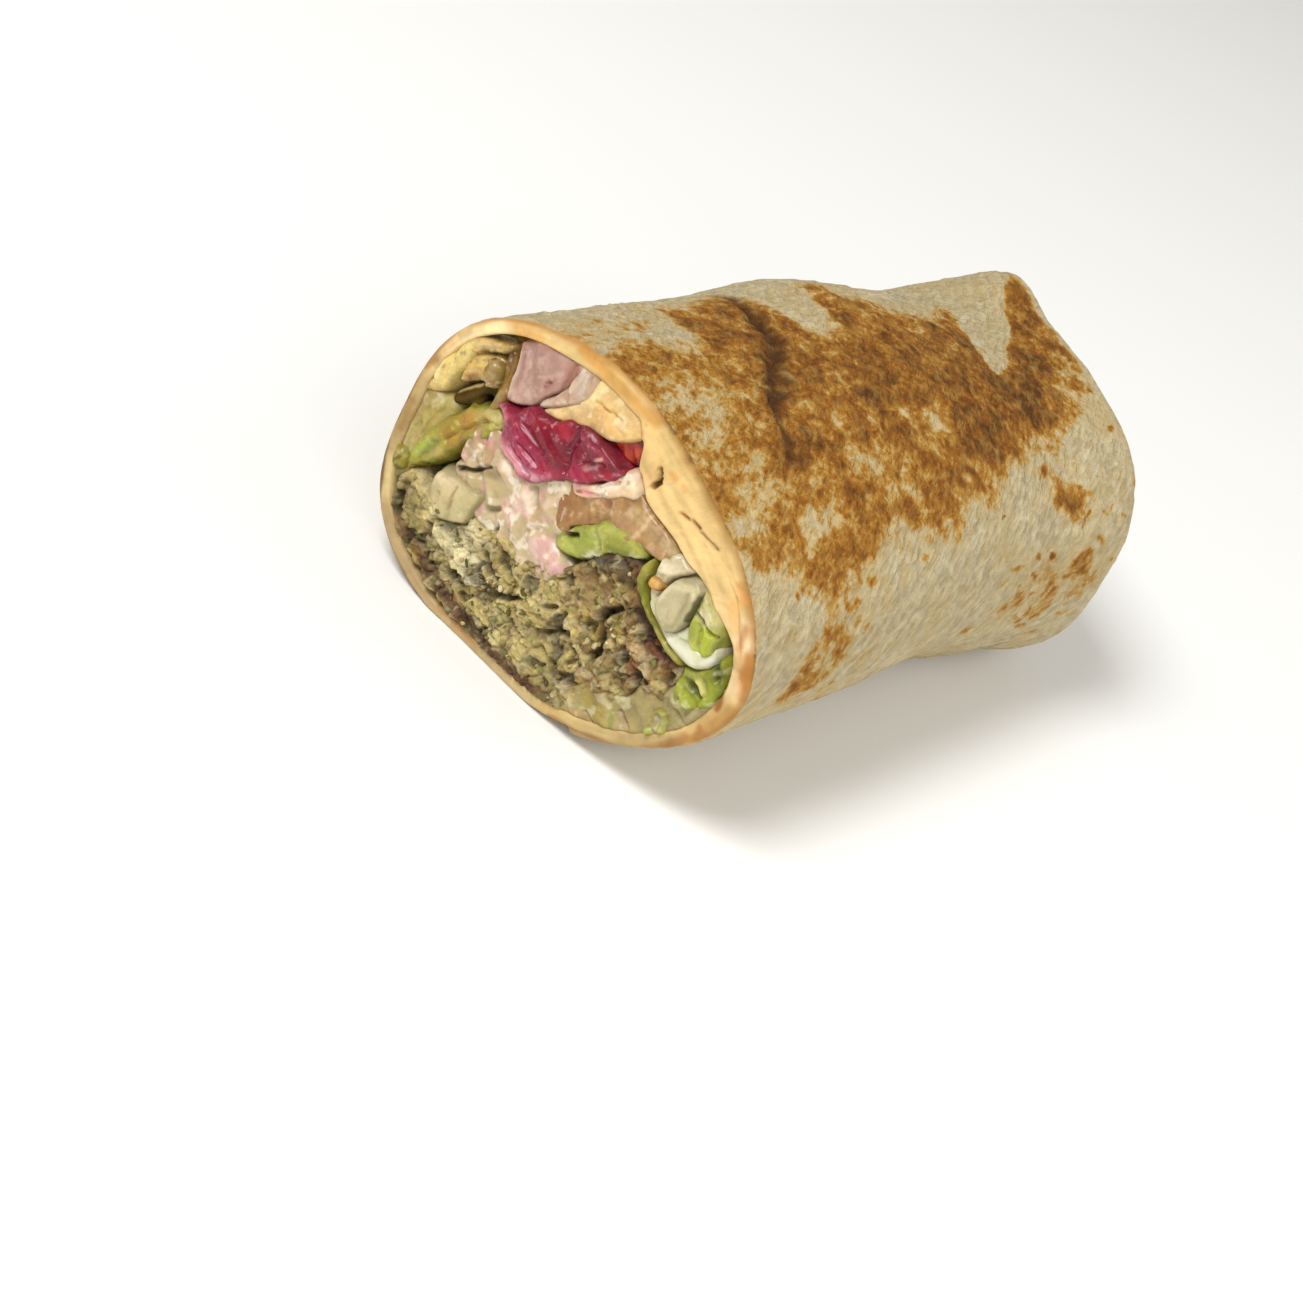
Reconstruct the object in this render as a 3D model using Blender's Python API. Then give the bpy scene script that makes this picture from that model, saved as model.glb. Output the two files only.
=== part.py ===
"""One half of a falafel wrap, cut across and lying on its flat underside.

The toasted flatbread is a single shell: an oval roll, open at the cut and folded shut at the other end.
Each filling that shows at the cut is a strand of its own, and runs from the cut to the folded end.
X runs along the roll from the cut to the fold, Y across it (the near side is -Y) and Z up.
Sizes in the tables are millimetres, angles are degrees round the roll's axis from +Y towards +Z.
"""

import math

import bpy

MM = 0.001
ROLL_SIDES = 56            # facets round the bread
TOUCH_GAP = 0.38           # clear space between pieces that lie against each other

# The roll's outline at stations from the cut (0) to the fold (1): the reach from the axis to each side,
# and how square the outline is in each quarter (2 is an ellipse, 4 is nearly a box).
STATIONS = [0.0, 0.30, 0.55, 0.80, 1.0]
REACH = {
    "far": [33.7, 34.2, 34.4, 30.8, 26.9],
    "top": [24.3, 24.8, 25.3, 22.7, 22.9],
    "near": [36.6, 36.1, 35.1, 34.3, 35.4],
    "bottom": [24.2, 24.6, 24.6, 24.4, 24.3],
}
SQUARENESS = {
    "far_top": [2.6, 2.4, 2.5, 2.4, 3.3],
    "near_top": [1.75, 2.0, 2.1, 2.3, 2.7],
    "near_bottom": [1.9, 1.9, 1.75, 2.4, 3.0],
    "far_bottom": [3.0, 2.8, 2.8, 2.6, 3.0],
}
INSIDE_STATIONS = [0.0, 0.3, 0.58, 0.82, 1.0]     # the hollow and the strands change together at these
REST_DEPTH = 23.6          # the underside is pressed flat this far below the axis
CUT_LEAN = 0.099           # the cut's top edge leans this much towards the fold, per mm of height
CUT_SKEW = -0.03           # the cut's far edge leans this much, per mm across
LENGTH = 116.0             # from the cut to the end of the fold, on the axis
FOLD_SLANT = 0.36          # the folded end runs on this much further, per mm towards the far side
FOLD_DEPTH = 9.0           # thickness of the folded layers that close the end
FOLD_SQUARENESS = 3.0

# Bread thickness towards the axis, by angle. The roll overlaps on the near top, where the layers add up.
BREAD = [(0, 2.4), (40, 2.2), (70, 2.8), (95, 2.9), (101, 4.6), (110, 8.0), (128, 9.8), (149, 9.2),
         (160, 6.9), (171, 3.5), (185, 3.2), (200, 2.5), (225, 2.2), (250, 2.0), (275, 1.8), (300, 2.0),
         (330, 2.4), (360, 2.4)]

SEAM_ANGLE = 234.0         # the bread's free edge, tucked under the near side
SEAM_RISE = 0.9
SEAM_SPREAD = 26.0
LAYER = 3.0                # the outermost layer, where the roll overlaps
GROOVE = {"depth": 1.1, "half_width": 0.6}      # the parting between the layers, seen on the cut rim
FLAP = {"rise": 2.2, "soft": 4.5, "hinge": 6.0, "lean": 0.42, "tuck": 12.0, "tuck_lean": 1.1}

# Soft swellings and dents of the roll: station, angle, height, spread along (share), spread round (degrees).
SWELLINGS = [
    (0.52, 34, 0.6, 0.07, 22),     # fold of bread that stands proud on the far shoulder
    (0.30, 120, 0.7, 0.12, 25),
    (0.22, 60, -0.6, 0.10, 18),
    (0.72, 118, 0.8, 0.12, 22),
    (0.62, 200, -0.6, 0.09, 20),
    (0.99, 61, 2.6, 0.07, 13),     # ear of the fold
    (0.94, 205, 0.3, 0.08, 16),    # lower corner of the fold
    (0.40, 330, 0.8, 0.12, 24),
    (0.75, 345, -0.9, 0.10, 20),
    (0.00, 75, 0.7, 0.25, 16),
    (0.00, 128, -0.7, 0.20, 20),
]

# Leaves and layers seen edge-on: the middle line from end to end (y, z), half thickness, depth behind
# the cut and the material. They keep their shape, and the strands below fill the space between.
LEAVES = {
    "lettuce_fold": ([(0.8, -0.9), (-3.2, 1.4), (-7.0, 4.6), (-12.6, 6.6)], 1.35, 0.4, "lettuce"),
    "lettuce_strip": ([(-14.0, 7.2), (-14.9, 4.5), (-18.5, 1.5), (-25.7, -1.4)], 0.54, 0.0, "lettuce"),
    "lettuce_left": ([(20.3, 5.8), (23.6, 2.0), (25.9, -2.5), (27.0, -7.7)], 1.71, 0.7, "lettuce_tan"),
    "sauce_smear": ([(4.5, 5.7), (0.5, 7.9), (-3.8, 11.0), (-7.6, 11.3)], 1.03, 0.5, "pink_sauce"),
    "pickle_rind": ([(27.2, 11.2), (25.3, 13.5), (23.0, 15.4), (21.2, 16.4)], 1.0, 1.4, "pickle"),
}

# Strands with a compact section: centre (y, z), half sizes, turn of the first half size, squareness,
# how far the end sits behind the cut, how much it domes, and the material.
# Earlier strands keep their shape and later ones fill the space that is left.
CHUNKS = {
    "turnip_pickle": (7.0, 10.6, 12.6, 4.3, -20, 3.2, -0.6, 0.9, "turnip"),
    "onion_slice": (15.2, 17.5, 5.6, 5.2, -35, 3.2, 1.6, 0.4, "onion"),
    "onion_heart": (8.8, 18.5, 5.0, 1.8, 118, 2.6, 1.2, 0.3, "onion_heart"),
    "bread_scrap": (3.6, 18.8, 5.8, 2.9, -18, 2.6, 1.0, 0.5, "bread_inside"),
    "tomato_scrap": (-2.6, 17.6, 2.1, 2.2, 40, 2.4, 5.0, 0.3, "tomato_deep"),
    "tomato_wedge": (-6.0, 8.5, 11.0, 3.1, -20, 2.8, 0.7, 0.5, "tomato"),
    "cucumber_dice": (-21.2, 5.8, 3.0, 4.4, 4, 3.6, 0.2, 0.6, "cucumber"),
    "carrot_shred": (-16.7, 5.9, 1.4, 1.0, 20, 2.2, 0.5, 0.4, "carrot"),
    "lettuce_side": (-27.2, 5.8, 4.3, 2.7, 52, 2.4, 0.8, 0.6, "lettuce"),
    "lettuce_clump": (-30.2, -2.0, 2.9, 4.1, 8, 2.6, 0.7, 0.7, "lettuce"),
    "lettuce_curl": (-27.2, -10.9, 1.8, 2.6, -22, 2.2, 0.4, 0.6, "lettuce"),
    "tahini_pool": (-25.9, 0.9, 5.0, 2.4, -8, 2.4, 1.3, 0.3, "tahini"),
    "tahini_edge": (-17.3, 8.8, 2.6, 2.2, 10, 2.4, 1.1, 0.3, "tahini"),
    "cucumber_block": (17.6, -6.7, 5.0, 3.9, -12, 3.4, 0.1, 0.6, "cucumber_pale"),
    "lettuce_knot": (29.5, -8.3, 1.7, 1.9, 0, 2.2, 0.3, 0.7, "lettuce"),
    "pickle_leaf": (23.4, 7.9, 3.8, 1.7, -38, 2.3, 3.2, 0.4, "pickle_dark"),
    "pickle_dice": (22.1, 13.0, 2.2, 2.0, 15, 3.0, 0.6, 0.5, "pickle"),
    "pickle_fold": (24.3, 10.9, 2.6, 2.6, -24, 2.4, 0.9, 0.6, "pickle"),
    "pepper_fold": (29.0, 8.3, 3.4, 5.6, 12, 2.5, 0.9, 0.8, "pepper"),
    "pickle_shaving": (19.4, 10.3, 3.8, 1.3, 82, 2.4, 1.3, 0.3, "pickle"),
    "sauce_stain": (17.6, 2.6, 3.5, 3.8, 20, 2.2, 0.9, 0.4, "pink_sauce"),
    "garlic_sauce": (5.8, -0.5, 11.7, 5.9, -12, 2.3, 0.9, 0.5, "pink_sauce"),
    "hummus_left": (29.8, -1.4, 2.5, 5.9, 6, 2.4, 0.8, 0.4, "hummus"),
    "falafel_right": (-14.6, -4.7, 11.9, 9.7, -24, 2.3, 0.2, 1.0, "falafel"),
    "hummus_side": (-29.2, -7.6, 3.6, 3.0, 60, 2.4, 0.8, 0.4, "hummus"),
    "hummus_right": (-20.2, -16.0, 10.4, 5.0, 26, 2.4, 0.8, 0.4, "hummus"),
    "falafel_left": (7.4, -13.9, 23.4, 9.0, -2, 2.6, 0.2, 1.0, "falafel"),
}

# Colour (linear RGB) and roughness of each food.
FOODS = {
    "bread": ((0.56, 0.41, 0.22), 0.75),
    "bread_inside": ((0.82, 0.56, 0.28), 0.6),
    "falafel": ((0.30, 0.25, 0.11), 0.85),
    "turnip": ((0.46, 0.02, 0.11), 0.3),
    "onion": ((0.52, 0.28, 0.26), 0.3),
    "onion_heart": ((0.68, 0.50, 0.42), 0.35),
    "tomato": ((0.45, 0.20, 0.10), 0.35),
    "tomato_deep": ((0.30, 0.03, 0.01), 0.3),
    "lettuce": ((0.32, 0.47, 0.06), 0.4),
    "lettuce_tan": ((0.36, 0.30, 0.07), 0.45),
    "tahini": ((0.80, 0.77, 0.66), 0.35),
    "pink_sauce": ((0.70, 0.50, 0.42), 0.45),
    "cucumber": ((0.48, 0.44, 0.26), 0.35),
    "cucumber_pale": ((0.58, 0.50, 0.30), 0.45),
    "carrot": ((0.70, 0.30, 0.08), 0.4),
    "pepper": ((0.66, 0.45, 0.13), 0.35),
    "pickle": ((0.42, 0.36, 0.10), 0.35),
    "pickle_dark": ((0.14, 0.13, 0.02), 0.35),
    "hummus": ((0.52, 0.43, 0.22), 0.6),
}


def smooth(share):
    """Eases from 0 to 1 with a level start and finish."""
    share = min(max(share, 0.0), 1.0)
    return share * share * (3 - 2 * share)


def between(places, values, place):
    """The value at a place, eased between the values listed at the places."""
    for i in range(len(places) - 1):
        if place <= places[i + 1]:
            share = (place - places[i]) / (places[i + 1] - places[i])
            return values[i] + (values[i + 1] - values[i]) * smooth(share)
    return values[-1]


def turn_between(a, b):
    """The smallest turn from angle b to angle a, in degrees."""
    return (a - b + 180) % 360 - 180


def roll_radius(station, angle):
    """Distance from the axis to the outside of the roll."""
    across = math.cos(math.radians(angle))
    up = math.sin(math.radians(angle))
    side = "far" if across >= 0 else "near"
    level = "top" if up >= 0 else "bottom"
    width = between(STATIONS, REACH[side], station)
    height = between(STATIONS, REACH[level], station)
    power = between(STATIONS, SQUARENESS[f"{side}_{level}"], station)
    radius = (abs(across / width) ** power + abs(up / height) ** power) ** (-1 / power)
    for place, middle, rise, along, around in SWELLINGS:
        near = ((station - place) / along) ** 2 + (turn_between(angle, middle) / around) ** 2
        radius += rise * math.exp(-near)
    return min(radius, REST_DEPTH / -up) if up < 0 else radius


def outside_radius(station, angle):
    """The same, with the step where the free edge of the bread lies over the layer below."""
    before_seam = turn_between(SEAM_ANGLE, angle)
    step = SEAM_RISE * smooth(1 - before_seam / SEAM_SPREAD) if 0 <= before_seam < SEAM_SPREAD else 0.0
    up = math.sin(math.radians(angle))
    radius = roll_radius(station, angle) + step
    return min(radius, REST_DEPTH / -up) if up < 0 else radius


def bread_thickness(angle):
    """Thickness of the bread towards the axis at this angle."""
    return between([a for a, _ in BREAD], [t for _, t in BREAD], angle % 360)


def placed(station, y, z):
    """The point in space of a section point (y, z) at a station from the cut to the fold."""
    cut = CUT_LEAN * z + CUT_SKEW * y
    fold = LENGTH - FOLD_DEPTH + FOLD_SLANT * y
    return (cut + (fold - cut) * station, y, z)


def carried(station, y, z):
    """A point of the cut's section, carried along the roll as its outline swells and narrows."""
    angle = math.degrees(math.atan2(z, y))
    scale = roll_radius(station, angle) / roll_radius(0.0, angle)
    return placed(station, y * scale, z * scale)


def roll_angles():
    """Angles of the facets round the bread, with two close together at the seam."""
    angles = [360 * i / ROLL_SIDES for i in range(ROLL_SIDES)]
    return sorted(angles + [SEAM_ANGLE - 0.3, SEAM_ANGLE + 0.9])


def ring(angles, radius_at):
    return [
        (radius_at(a) * math.cos(math.radians(a)), radius_at(a) * math.sin(math.radians(a)))
        for a in angles
    ]


def hollow_outline():
    """The inside of the bread at the cut, which the strands fill."""
    return ring(roll_angles(), lambda a: roll_radius(0.0, a) - bread_thickness(a))


def rim_rings(angles):
    """The cut rim of the bread, with a groove where two layers lie on each other."""
    for side in (-1, 0, 1):
        rim = []
        for angle in angles:
            thickness = bread_thickness(angle)
            inset = min(LAYER, 0.5 * thickness) - side * min(GROOVE["half_width"], 0.15 * thickness)
            radius = outside_radius(0.0, angle) - inset
            x, y, z = placed(0.0, radius * math.cos(math.radians(angle)), radius * math.sin(math.radians(angle)))
            depth = 0.0 if side else GROOVE["depth"] * smooth((thickness - 4.5) / 2.5)
            rim.append((x + depth, y, z))
        yield rim


def flap_height(y, z):
    """How far the folded flap stands out of the end: a top flap over two tucked corners."""
    below_hinge = FLAP["hinge"] - FLAP["lean"] * y - z
    over_tuck = FLAP["tuck"] - FLAP["tuck_lean"] * abs(y + 4.0) - z
    top_flap = smooth(0.5 - below_hinge / FLAP["soft"])
    tucks = smooth(0.5 - over_tuck / FLAP["soft"])
    return FLAP["rise"] * (max(top_flap, 0.55 * tucks) - 1.0)


def mesh_object(name, points, faces, food, wrap):
    """A named object of these points (millimetres, roll frame), with its origin at their middle."""
    middle = [sum(p[i] for p in points) / len(points) * MM for i in range(3)]
    local = [tuple(p[i] * MM - middle[i] for i in range(3)) for p in points]
    mesh = bpy.data.meshes.new(name)
    mesh.from_pydata(local, [], faces)
    mesh.update()
    mesh.materials.append(food)
    mesh.shade_smooth()
    obj = bpy.data.objects.new(name, mesh)
    bpy.context.scene.collection.objects.link(obj)
    obj.parent = wrap
    obj.location = middle
    return obj


def tube_faces(first_ring, sides):
    """Quads between the ring that starts at this index and the next one."""
    second_ring = first_ring + sides
    return [
        (first_ring + i, first_ring + (i + 1) % sides, second_ring + (i + 1) % sides, second_ring + i)
        for i in range(sides)
    ]


def bread_shell(food, wrap):
    """The whole bread: down the outside, over the fold, back to the cut and down the hollow."""
    angles = roll_angles()
    sides = len(angles)
    rings = []
    for station in reversed(INSIDE_STATIONS):              # the hollow, from the fold to the cut
        rings.append([carried(station, y, z) for y, z in hollow_outline()])
    rings += rim_rings(angles)
    outside = [0.0, 0.012] + [i / 13 for i in range(1, 14)]
    for station in outside:                                # the cut's outer edge, to the fold
        shrink = 0.5 if station == 0.0 else 0.0            # the cut edge is a little rounded
        section = ring(angles, lambda a, s=station, c=shrink: outside_radius(s, a) - c)
        rings.append([placed(station, y, z) for y, z in section])
    for step in range(1, 8):                               # over the folded end
        turn = math.radians(90 * step / 8)
        size = math.cos(turn) ** (2 / FOLD_SQUARENESS)
        out = math.sin(turn) ** (2 / FOLD_SQUARENESS)
        section = ring(angles, lambda a, s=size: outside_radius(1.0, a) * s)
        rings.append([
            (placed(1.0, y, z)[0] + FOLD_DEPTH * out + smooth(2 * out - 1) * flap_height(y, z), y, z)
            for y, z in section
        ])
    points = [p for r in rings for p in r]
    faces = [f for i in range(len(rings) - 1) for f in tube_faces(i * sides, sides)]
    hollow_end = len(points)
    points.append(placed(1.0, 0.0, 0.0))
    faces += [(hollow_end, (i + 1) % sides, i) for i in range(sides)]
    tip = len(points)
    points.append((LENGTH + flap_height(0.0, 0.0), 0.0, 0.0))
    last = (len(rings) - 1) * sides
    faces += [(tip, last + i, last + (i + 1) % sides) for i in range(sides)]
    return mesh_object("bread_wrap", points, faces, food, wrap)


def blob_reach(strand, angle):
    """Distance from a compact strand's centre to its own outline."""
    _, _, half_a, half_b, turn, power = strand[:6]
    local = math.radians(angle - turn)
    return (abs(math.cos(local) / half_a) ** power + abs(math.sin(local) / half_b) ** power) ** (-1 / power)


def spread_angle(strand, share):
    """Directions that come out evenly spaced along a long, narrow outline."""
    across = strand[2] * math.cos(math.radians(share))
    along = strand[3] * math.sin(math.radians(share))
    return (math.degrees(math.atan2(along, across)) + strand[4]) % 360


def hit_distance(centre, angle, outline):
    """Distance from the centre, in this direction, to the first edge of a closed outline."""
    dy = math.cos(math.radians(angle))
    dz = math.sin(math.radians(angle))
    nearest = math.inf
    for (y1, z1), (y2, z2) in zip(outline, outline[1:] + outline[:1]):
        ey = y2 - y1
        ez = z2 - z1
        cross = dy * ez - dz * ey
        if abs(cross) < 1e-9:
            continue
        along_ray = ((y1 - centre[0]) * ez - (z1 - centre[1]) * ey) / cross
        along_edge = ((y1 - centre[0]) * dz - (z1 - centre[1]) * dy) / cross
        if along_ray > 0 and -1e-9 <= along_edge <= 1 + 1e-9:
            nearest = min(nearest, along_ray)
    return nearest


def holds(outline, y, z):
    """True if the outline goes round the point."""
    inside = False
    for (y1, z1), (y2, z2) in zip(outline, outline[1:] + outline[:1]):
        if (z1 > z) != (z2 > z) and y < y1 + (z - z1) * (y2 - y1) / (z2 - z1):
            inside = not inside
    return inside


def offset_outline(outline, distance):
    """The outline moved outwards by a distance (inwards if it is negative), corners kept."""
    moved = []
    for i, (y, z) in enumerate(outline):
        y0, z0 = outline[i - 1]
        y2, z2 = outline[(i + 1) % len(outline)]
        first = math.hypot(y - y0, z - z0)
        second = math.hypot(y2 - y, z2 - z)
        ny = (z - z0) / first + (z2 - z) / second
        nz = -(y - y0) / first - (y2 - y) / second
        size = max(math.hypot(ny, nz), 0.8)
        moved.append((y + 2 * distance * ny / size**2, z + 2 * distance * nz / size**2))
    return moved


def thinned(outline, closest):
    """The outline without points that lie closer than this to the one before."""
    kept = []
    for point in outline:
        if not kept or math.dist(kept[-1], point) > closest:
            kept.append(point)
    while len(kept) > 3 and math.dist(kept[0], kept[-1]) <= closest:
        kept.pop()
    return kept


def chunk_outline(strand, hollow, neighbours):
    """A compact strand's outline, cut short where the bread or an earlier strand is in the way."""
    centre = (strand[0], strand[1])
    rays = max(9, min(22, round(2.0 * (strand[2] + strand[3]))))
    angles = [spread_angle(strand, 360 * i / rays) for i in range(rays)]
    outline = []
    for _ in range(6):
        outline = []
        for angle in sorted(set(angles)):
            reach = min([blob_reach(strand, angle), hit_distance(centre, angle, hollow)]
                        + [hit_distance(centre, angle, n) for n in neighbours])
            outline.append((centre[0] + reach * math.cos(math.radians(angle)),
                            centre[1] + reach * math.sin(math.radians(angle))))
        shrunk = offset_outline(outline, -0.02)
        intruders = [p for n in neighbours + [hollow] for p in n if holds(shrunk, *p)]
        if not intruders:
            break
        for y, z in intruders:
            towards = math.degrees(math.atan2(z - centre[1], y - centre[0])) % 360
            angles += [towards - 0.05, towards, towards + 0.05]
    return thinned(outline, 0.12)


def leaf_outline(middle_line, half_thickness):
    """Both sides of a leaf's middle line, rounded off by narrowing at its two ends."""
    steps = 2 * (len(middle_line) - 1)
    line = [curve_point(middle_line, i / steps) for i in range(steps + 1)]
    near_side = []
    far_side = []
    for i, (y, z) in enumerate(line):
        y0, z0 = line[max(i - 1, 0)]
        y2, z2 = line[min(i + 1, steps)]
        size = math.hypot(y2 - y0, z2 - z0)
        share = min(i, steps - i) / steps
        half = half_thickness * (0.45 + 0.55 * smooth(share * 6))
        near_side.append((y + half * (z2 - z0) / size, z - half * (y2 - y0) / size))
        far_side.append((y - half * (z2 - z0) / size, z + half * (y2 - y0) / size))
    return near_side + far_side[::-1]


def curve_point(points, share):
    """A point on the smooth curve through the points, share 0 to 1 of the way."""
    place = share * (len(points) - 1)
    i = min(int(place), len(points) - 2)
    t = place - i
    before, start, end, after = (points[max(i - 1, 0)], points[i], points[i + 1],
                                 points[min(i + 2, len(points) - 1)])
    return tuple(
        0.5 * (2 * s + (e - b) * t + (2 * b - 5 * s + 4 * e - a) * t**2 + (3 * s - b - 3 * e + a) * t**3)
        for b, s, e, a in zip(before, start, end, after)
    )


def counter_clockwise(outline):
    area = sum(a[0] * b[1] - b[0] * a[1] for a, b in zip(outline, outline[1:] + outline[:1]))
    return outline if area > 0 else outline[::-1]


def strand_object(name, outline, depth, dome, food, wrap):
    """A strand from the cut to the fold: a domed end, then the outline carried along the roll."""
    sides = len(outline)
    middle = (sum(p[0] for p in outline) / sides, sum(p[1] for p in outline) / sides)
    rings = []
    if dome:
        inner = [(middle[0] + (y - middle[0]) * 0.8, middle[1] + (z - middle[1]) * 0.8) for y, z in outline]
        rings.append([(placed(0.0, y, z)[0] + depth, y, z) for y, z in inner])
    rings.append([(placed(0.0, y, z)[0] + depth + dome, y, z) for y, z in outline])
    for station in INSIDE_STATIONS[1:]:
        rings.append([carried(station, y, z) for y, z in outline])
    rings[-1] = [(x - TOUCH_GAP, y, z) for x, y, z in rings[-1]]
    points = [p for r in rings for p in r]
    faces = [f for i in range(len(rings) - 1) for f in tube_faces(i * sides, sides)]
    faces.append(tuple(reversed(range(sides))))
    last = (len(rings) - 1) * sides
    faces.append(tuple(last + i for i in range(sides)))
    return mesh_object(name, points, faces, food, wrap)


def fillings(foods, wrap):
    """Every strand, leaves first, each kept clear of the bread and of the strands before it."""
    hollow = offset_outline(counter_clockwise(hollow_outline()), -TOUCH_GAP)
    neighbours = []
    for name, (middle_line, half_thickness, depth, food) in LEAVES.items():
        outline = counter_clockwise(leaf_outline(middle_line, half_thickness))
        strand_object(name, outline, depth, 0.0, foods[food], wrap)
        neighbours.append(offset_outline(outline, TOUCH_GAP))
    for name, strand in CHUNKS.items():
        outline = counter_clockwise(chunk_outline(strand, hollow, neighbours))
        depth, dome, food = strand[6:]
        strand_object(name, outline, depth, dome, foods[food], wrap)
        neighbours.append(offset_outline(outline, TOUCH_GAP))


def food_materials():
    """One material for each food."""
    made = {}
    for name, (colour, roughness) in FOODS.items():
        material = bpy.data.materials.new(name)
        material.use_nodes = True
        shader = material.node_tree.nodes["Principled BSDF"]
        shader.inputs["Base Color"].default_value = (*colour, 1.0)
        shader.inputs["Roughness"].default_value = roughness
        shader.inputs["Metallic"].default_value = 0.0
        made[name] = material
    return made


def main():
    for obj in list(bpy.data.objects):
        bpy.data.objects.remove(obj)
    foods = food_materials()
    wrap = bpy.data.objects.new("wrap", None)
    bpy.context.scene.collection.objects.link(wrap)
    bread = bread_shell(foods["bread"], wrap)
    fillings(foods, wrap)
    bpy.context.view_layer.update()
    corners = [bread.matrix_world @ v.co for v in bread.data.vertices]
    low = [min(c[i] for c in corners) for i in range(3)]
    high = [max(c[i] for c in corners) for i in range(3)]
    wrap.location = (-(low[0] + high[0]) / 2, -(low[1] + high[1]) / 2, -low[2])
    bpy.context.view_layer.update()


main()
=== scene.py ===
import math

import bpy
import numpy as np
from mathutils import Matrix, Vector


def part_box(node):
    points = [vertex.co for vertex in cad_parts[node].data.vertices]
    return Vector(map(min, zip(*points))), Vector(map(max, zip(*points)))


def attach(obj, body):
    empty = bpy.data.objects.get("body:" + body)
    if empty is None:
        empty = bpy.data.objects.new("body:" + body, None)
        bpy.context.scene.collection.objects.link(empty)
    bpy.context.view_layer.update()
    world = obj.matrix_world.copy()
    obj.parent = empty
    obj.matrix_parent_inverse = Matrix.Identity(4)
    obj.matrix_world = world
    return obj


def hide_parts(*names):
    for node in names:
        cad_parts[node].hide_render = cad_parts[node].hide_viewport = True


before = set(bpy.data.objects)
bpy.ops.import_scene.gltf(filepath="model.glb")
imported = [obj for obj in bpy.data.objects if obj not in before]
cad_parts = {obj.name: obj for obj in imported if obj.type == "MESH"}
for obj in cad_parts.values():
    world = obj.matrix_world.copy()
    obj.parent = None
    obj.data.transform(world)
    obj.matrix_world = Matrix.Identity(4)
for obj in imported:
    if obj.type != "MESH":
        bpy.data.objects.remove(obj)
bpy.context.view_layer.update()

print("frame loaded:", len(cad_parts), "nodes")

mm = 0.001
breadLow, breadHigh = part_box("bread_wrap")
rollOrigin = np.array([(breadLow[0] + breadHigh[0]) / 2 / mm - 59.5,
                       (breadLow[1] + breadHigh[1]) / 2 / mm + 1.05,
                       breadLow[2] / mm + 23.6])   # where the roll's axis meets the cut

# Everything below is drawn in the roll's own millimetres: X from the cut to the fold, Y across (the near
# side is -Y), Z up. Angles go round the axis from +Y, so 90 is the top and 180 the near side.

roll = {
    "stations": [0.0, 0.30, 0.55, 0.80, 1.0],          # share of the way from the cut to the fold
    "far": [33.7, 34.2, 34.4, 30.8, 26.9],             # reach from the axis to each side
    "top": [24.3, 24.8, 25.3, 22.7, 22.9],
    "near": [36.6, 36.1, 35.1, 34.3, 35.4],
    "bottom": [24.2, 24.6, 24.6, 24.4, 24.3],
    "farTop": [2.6, 2.4, 2.5, 2.4, 3.3],               # how square each quarter is
    "nearTop": [1.75, 2.0, 2.1, 2.3, 2.7],
    "nearBottom": [1.9, 1.9, 1.75, 2.4, 3.0],
    "farBottom": [3.0, 2.8, 2.8, 2.6, 3.0],
    "restDepth": 23.6,                                 # the underside is pressed flat this far down
    "cutLean": 0.099, "cutSkew": -0.03,
    "length": 116.0, "foldSlant": 0.36, "foldDepth": 9.0,
    "swellings": [(0.52, 34, 0.6, 0.07, 22), (0.30, 120, 0.7, 0.12, 25), (0.22, 60, -0.6, 0.10, 18),
                  (0.72, 118, 0.8, 0.12, 22), (0.62, 200, -0.6, 0.09, 20), (0.99, 61, 2.6, 0.07, 13),
                  (0.94, 205, 0.3, 0.08, 16), (0.40, 330, 0.8, 0.12, 24), (0.75, 345, -0.9, 0.10, 20),
                  (0.00, 75, 0.7, 0.25, 16), (0.00, 128, -0.7, 0.20, 20)],
    "breadAngles": [0, 40, 70, 95, 101, 110, 128, 149, 160, 171, 185, 200, 225, 250, 275, 300, 330, 360],
    "breadThickness": [2.4, 2.2, 2.8, 2.9, 4.6, 8.0, 9.8, 9.2, 6.9, 3.5, 3.2, 2.5, 2.2, 2.0, 1.8, 2.0, 2.4, 2.4],
    "seamAngle": 234.0, "seamRise": 0.9, "seamSpread": 26.0,
}
drawnScale = 0.9           # the cut's outlines below are drawn for a cut this much bigger


def smooth(share):
    share = np.clip(share, 0.0, 1.0)
    return share * share * (3 - 2 * share)


def between(places, values, place):
    places, values, place = (np.asarray(a, float) for a in (places, values, place))
    i = np.clip(np.searchsorted(places, place, side="left") - 1, 0, len(places) - 2)
    return values[i] + (values[i + 1] - values[i]) * smooth((place - places[i]) / (places[i + 1] - places[i]))


def turnBetween(a, b):
    return (a - b + 180) % 360 - 180


def restLimit(radius, up):
    return np.where(up < 0, np.minimum(radius, roll["restDepth"] / np.maximum(-up, 1e-6)), radius)


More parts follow.
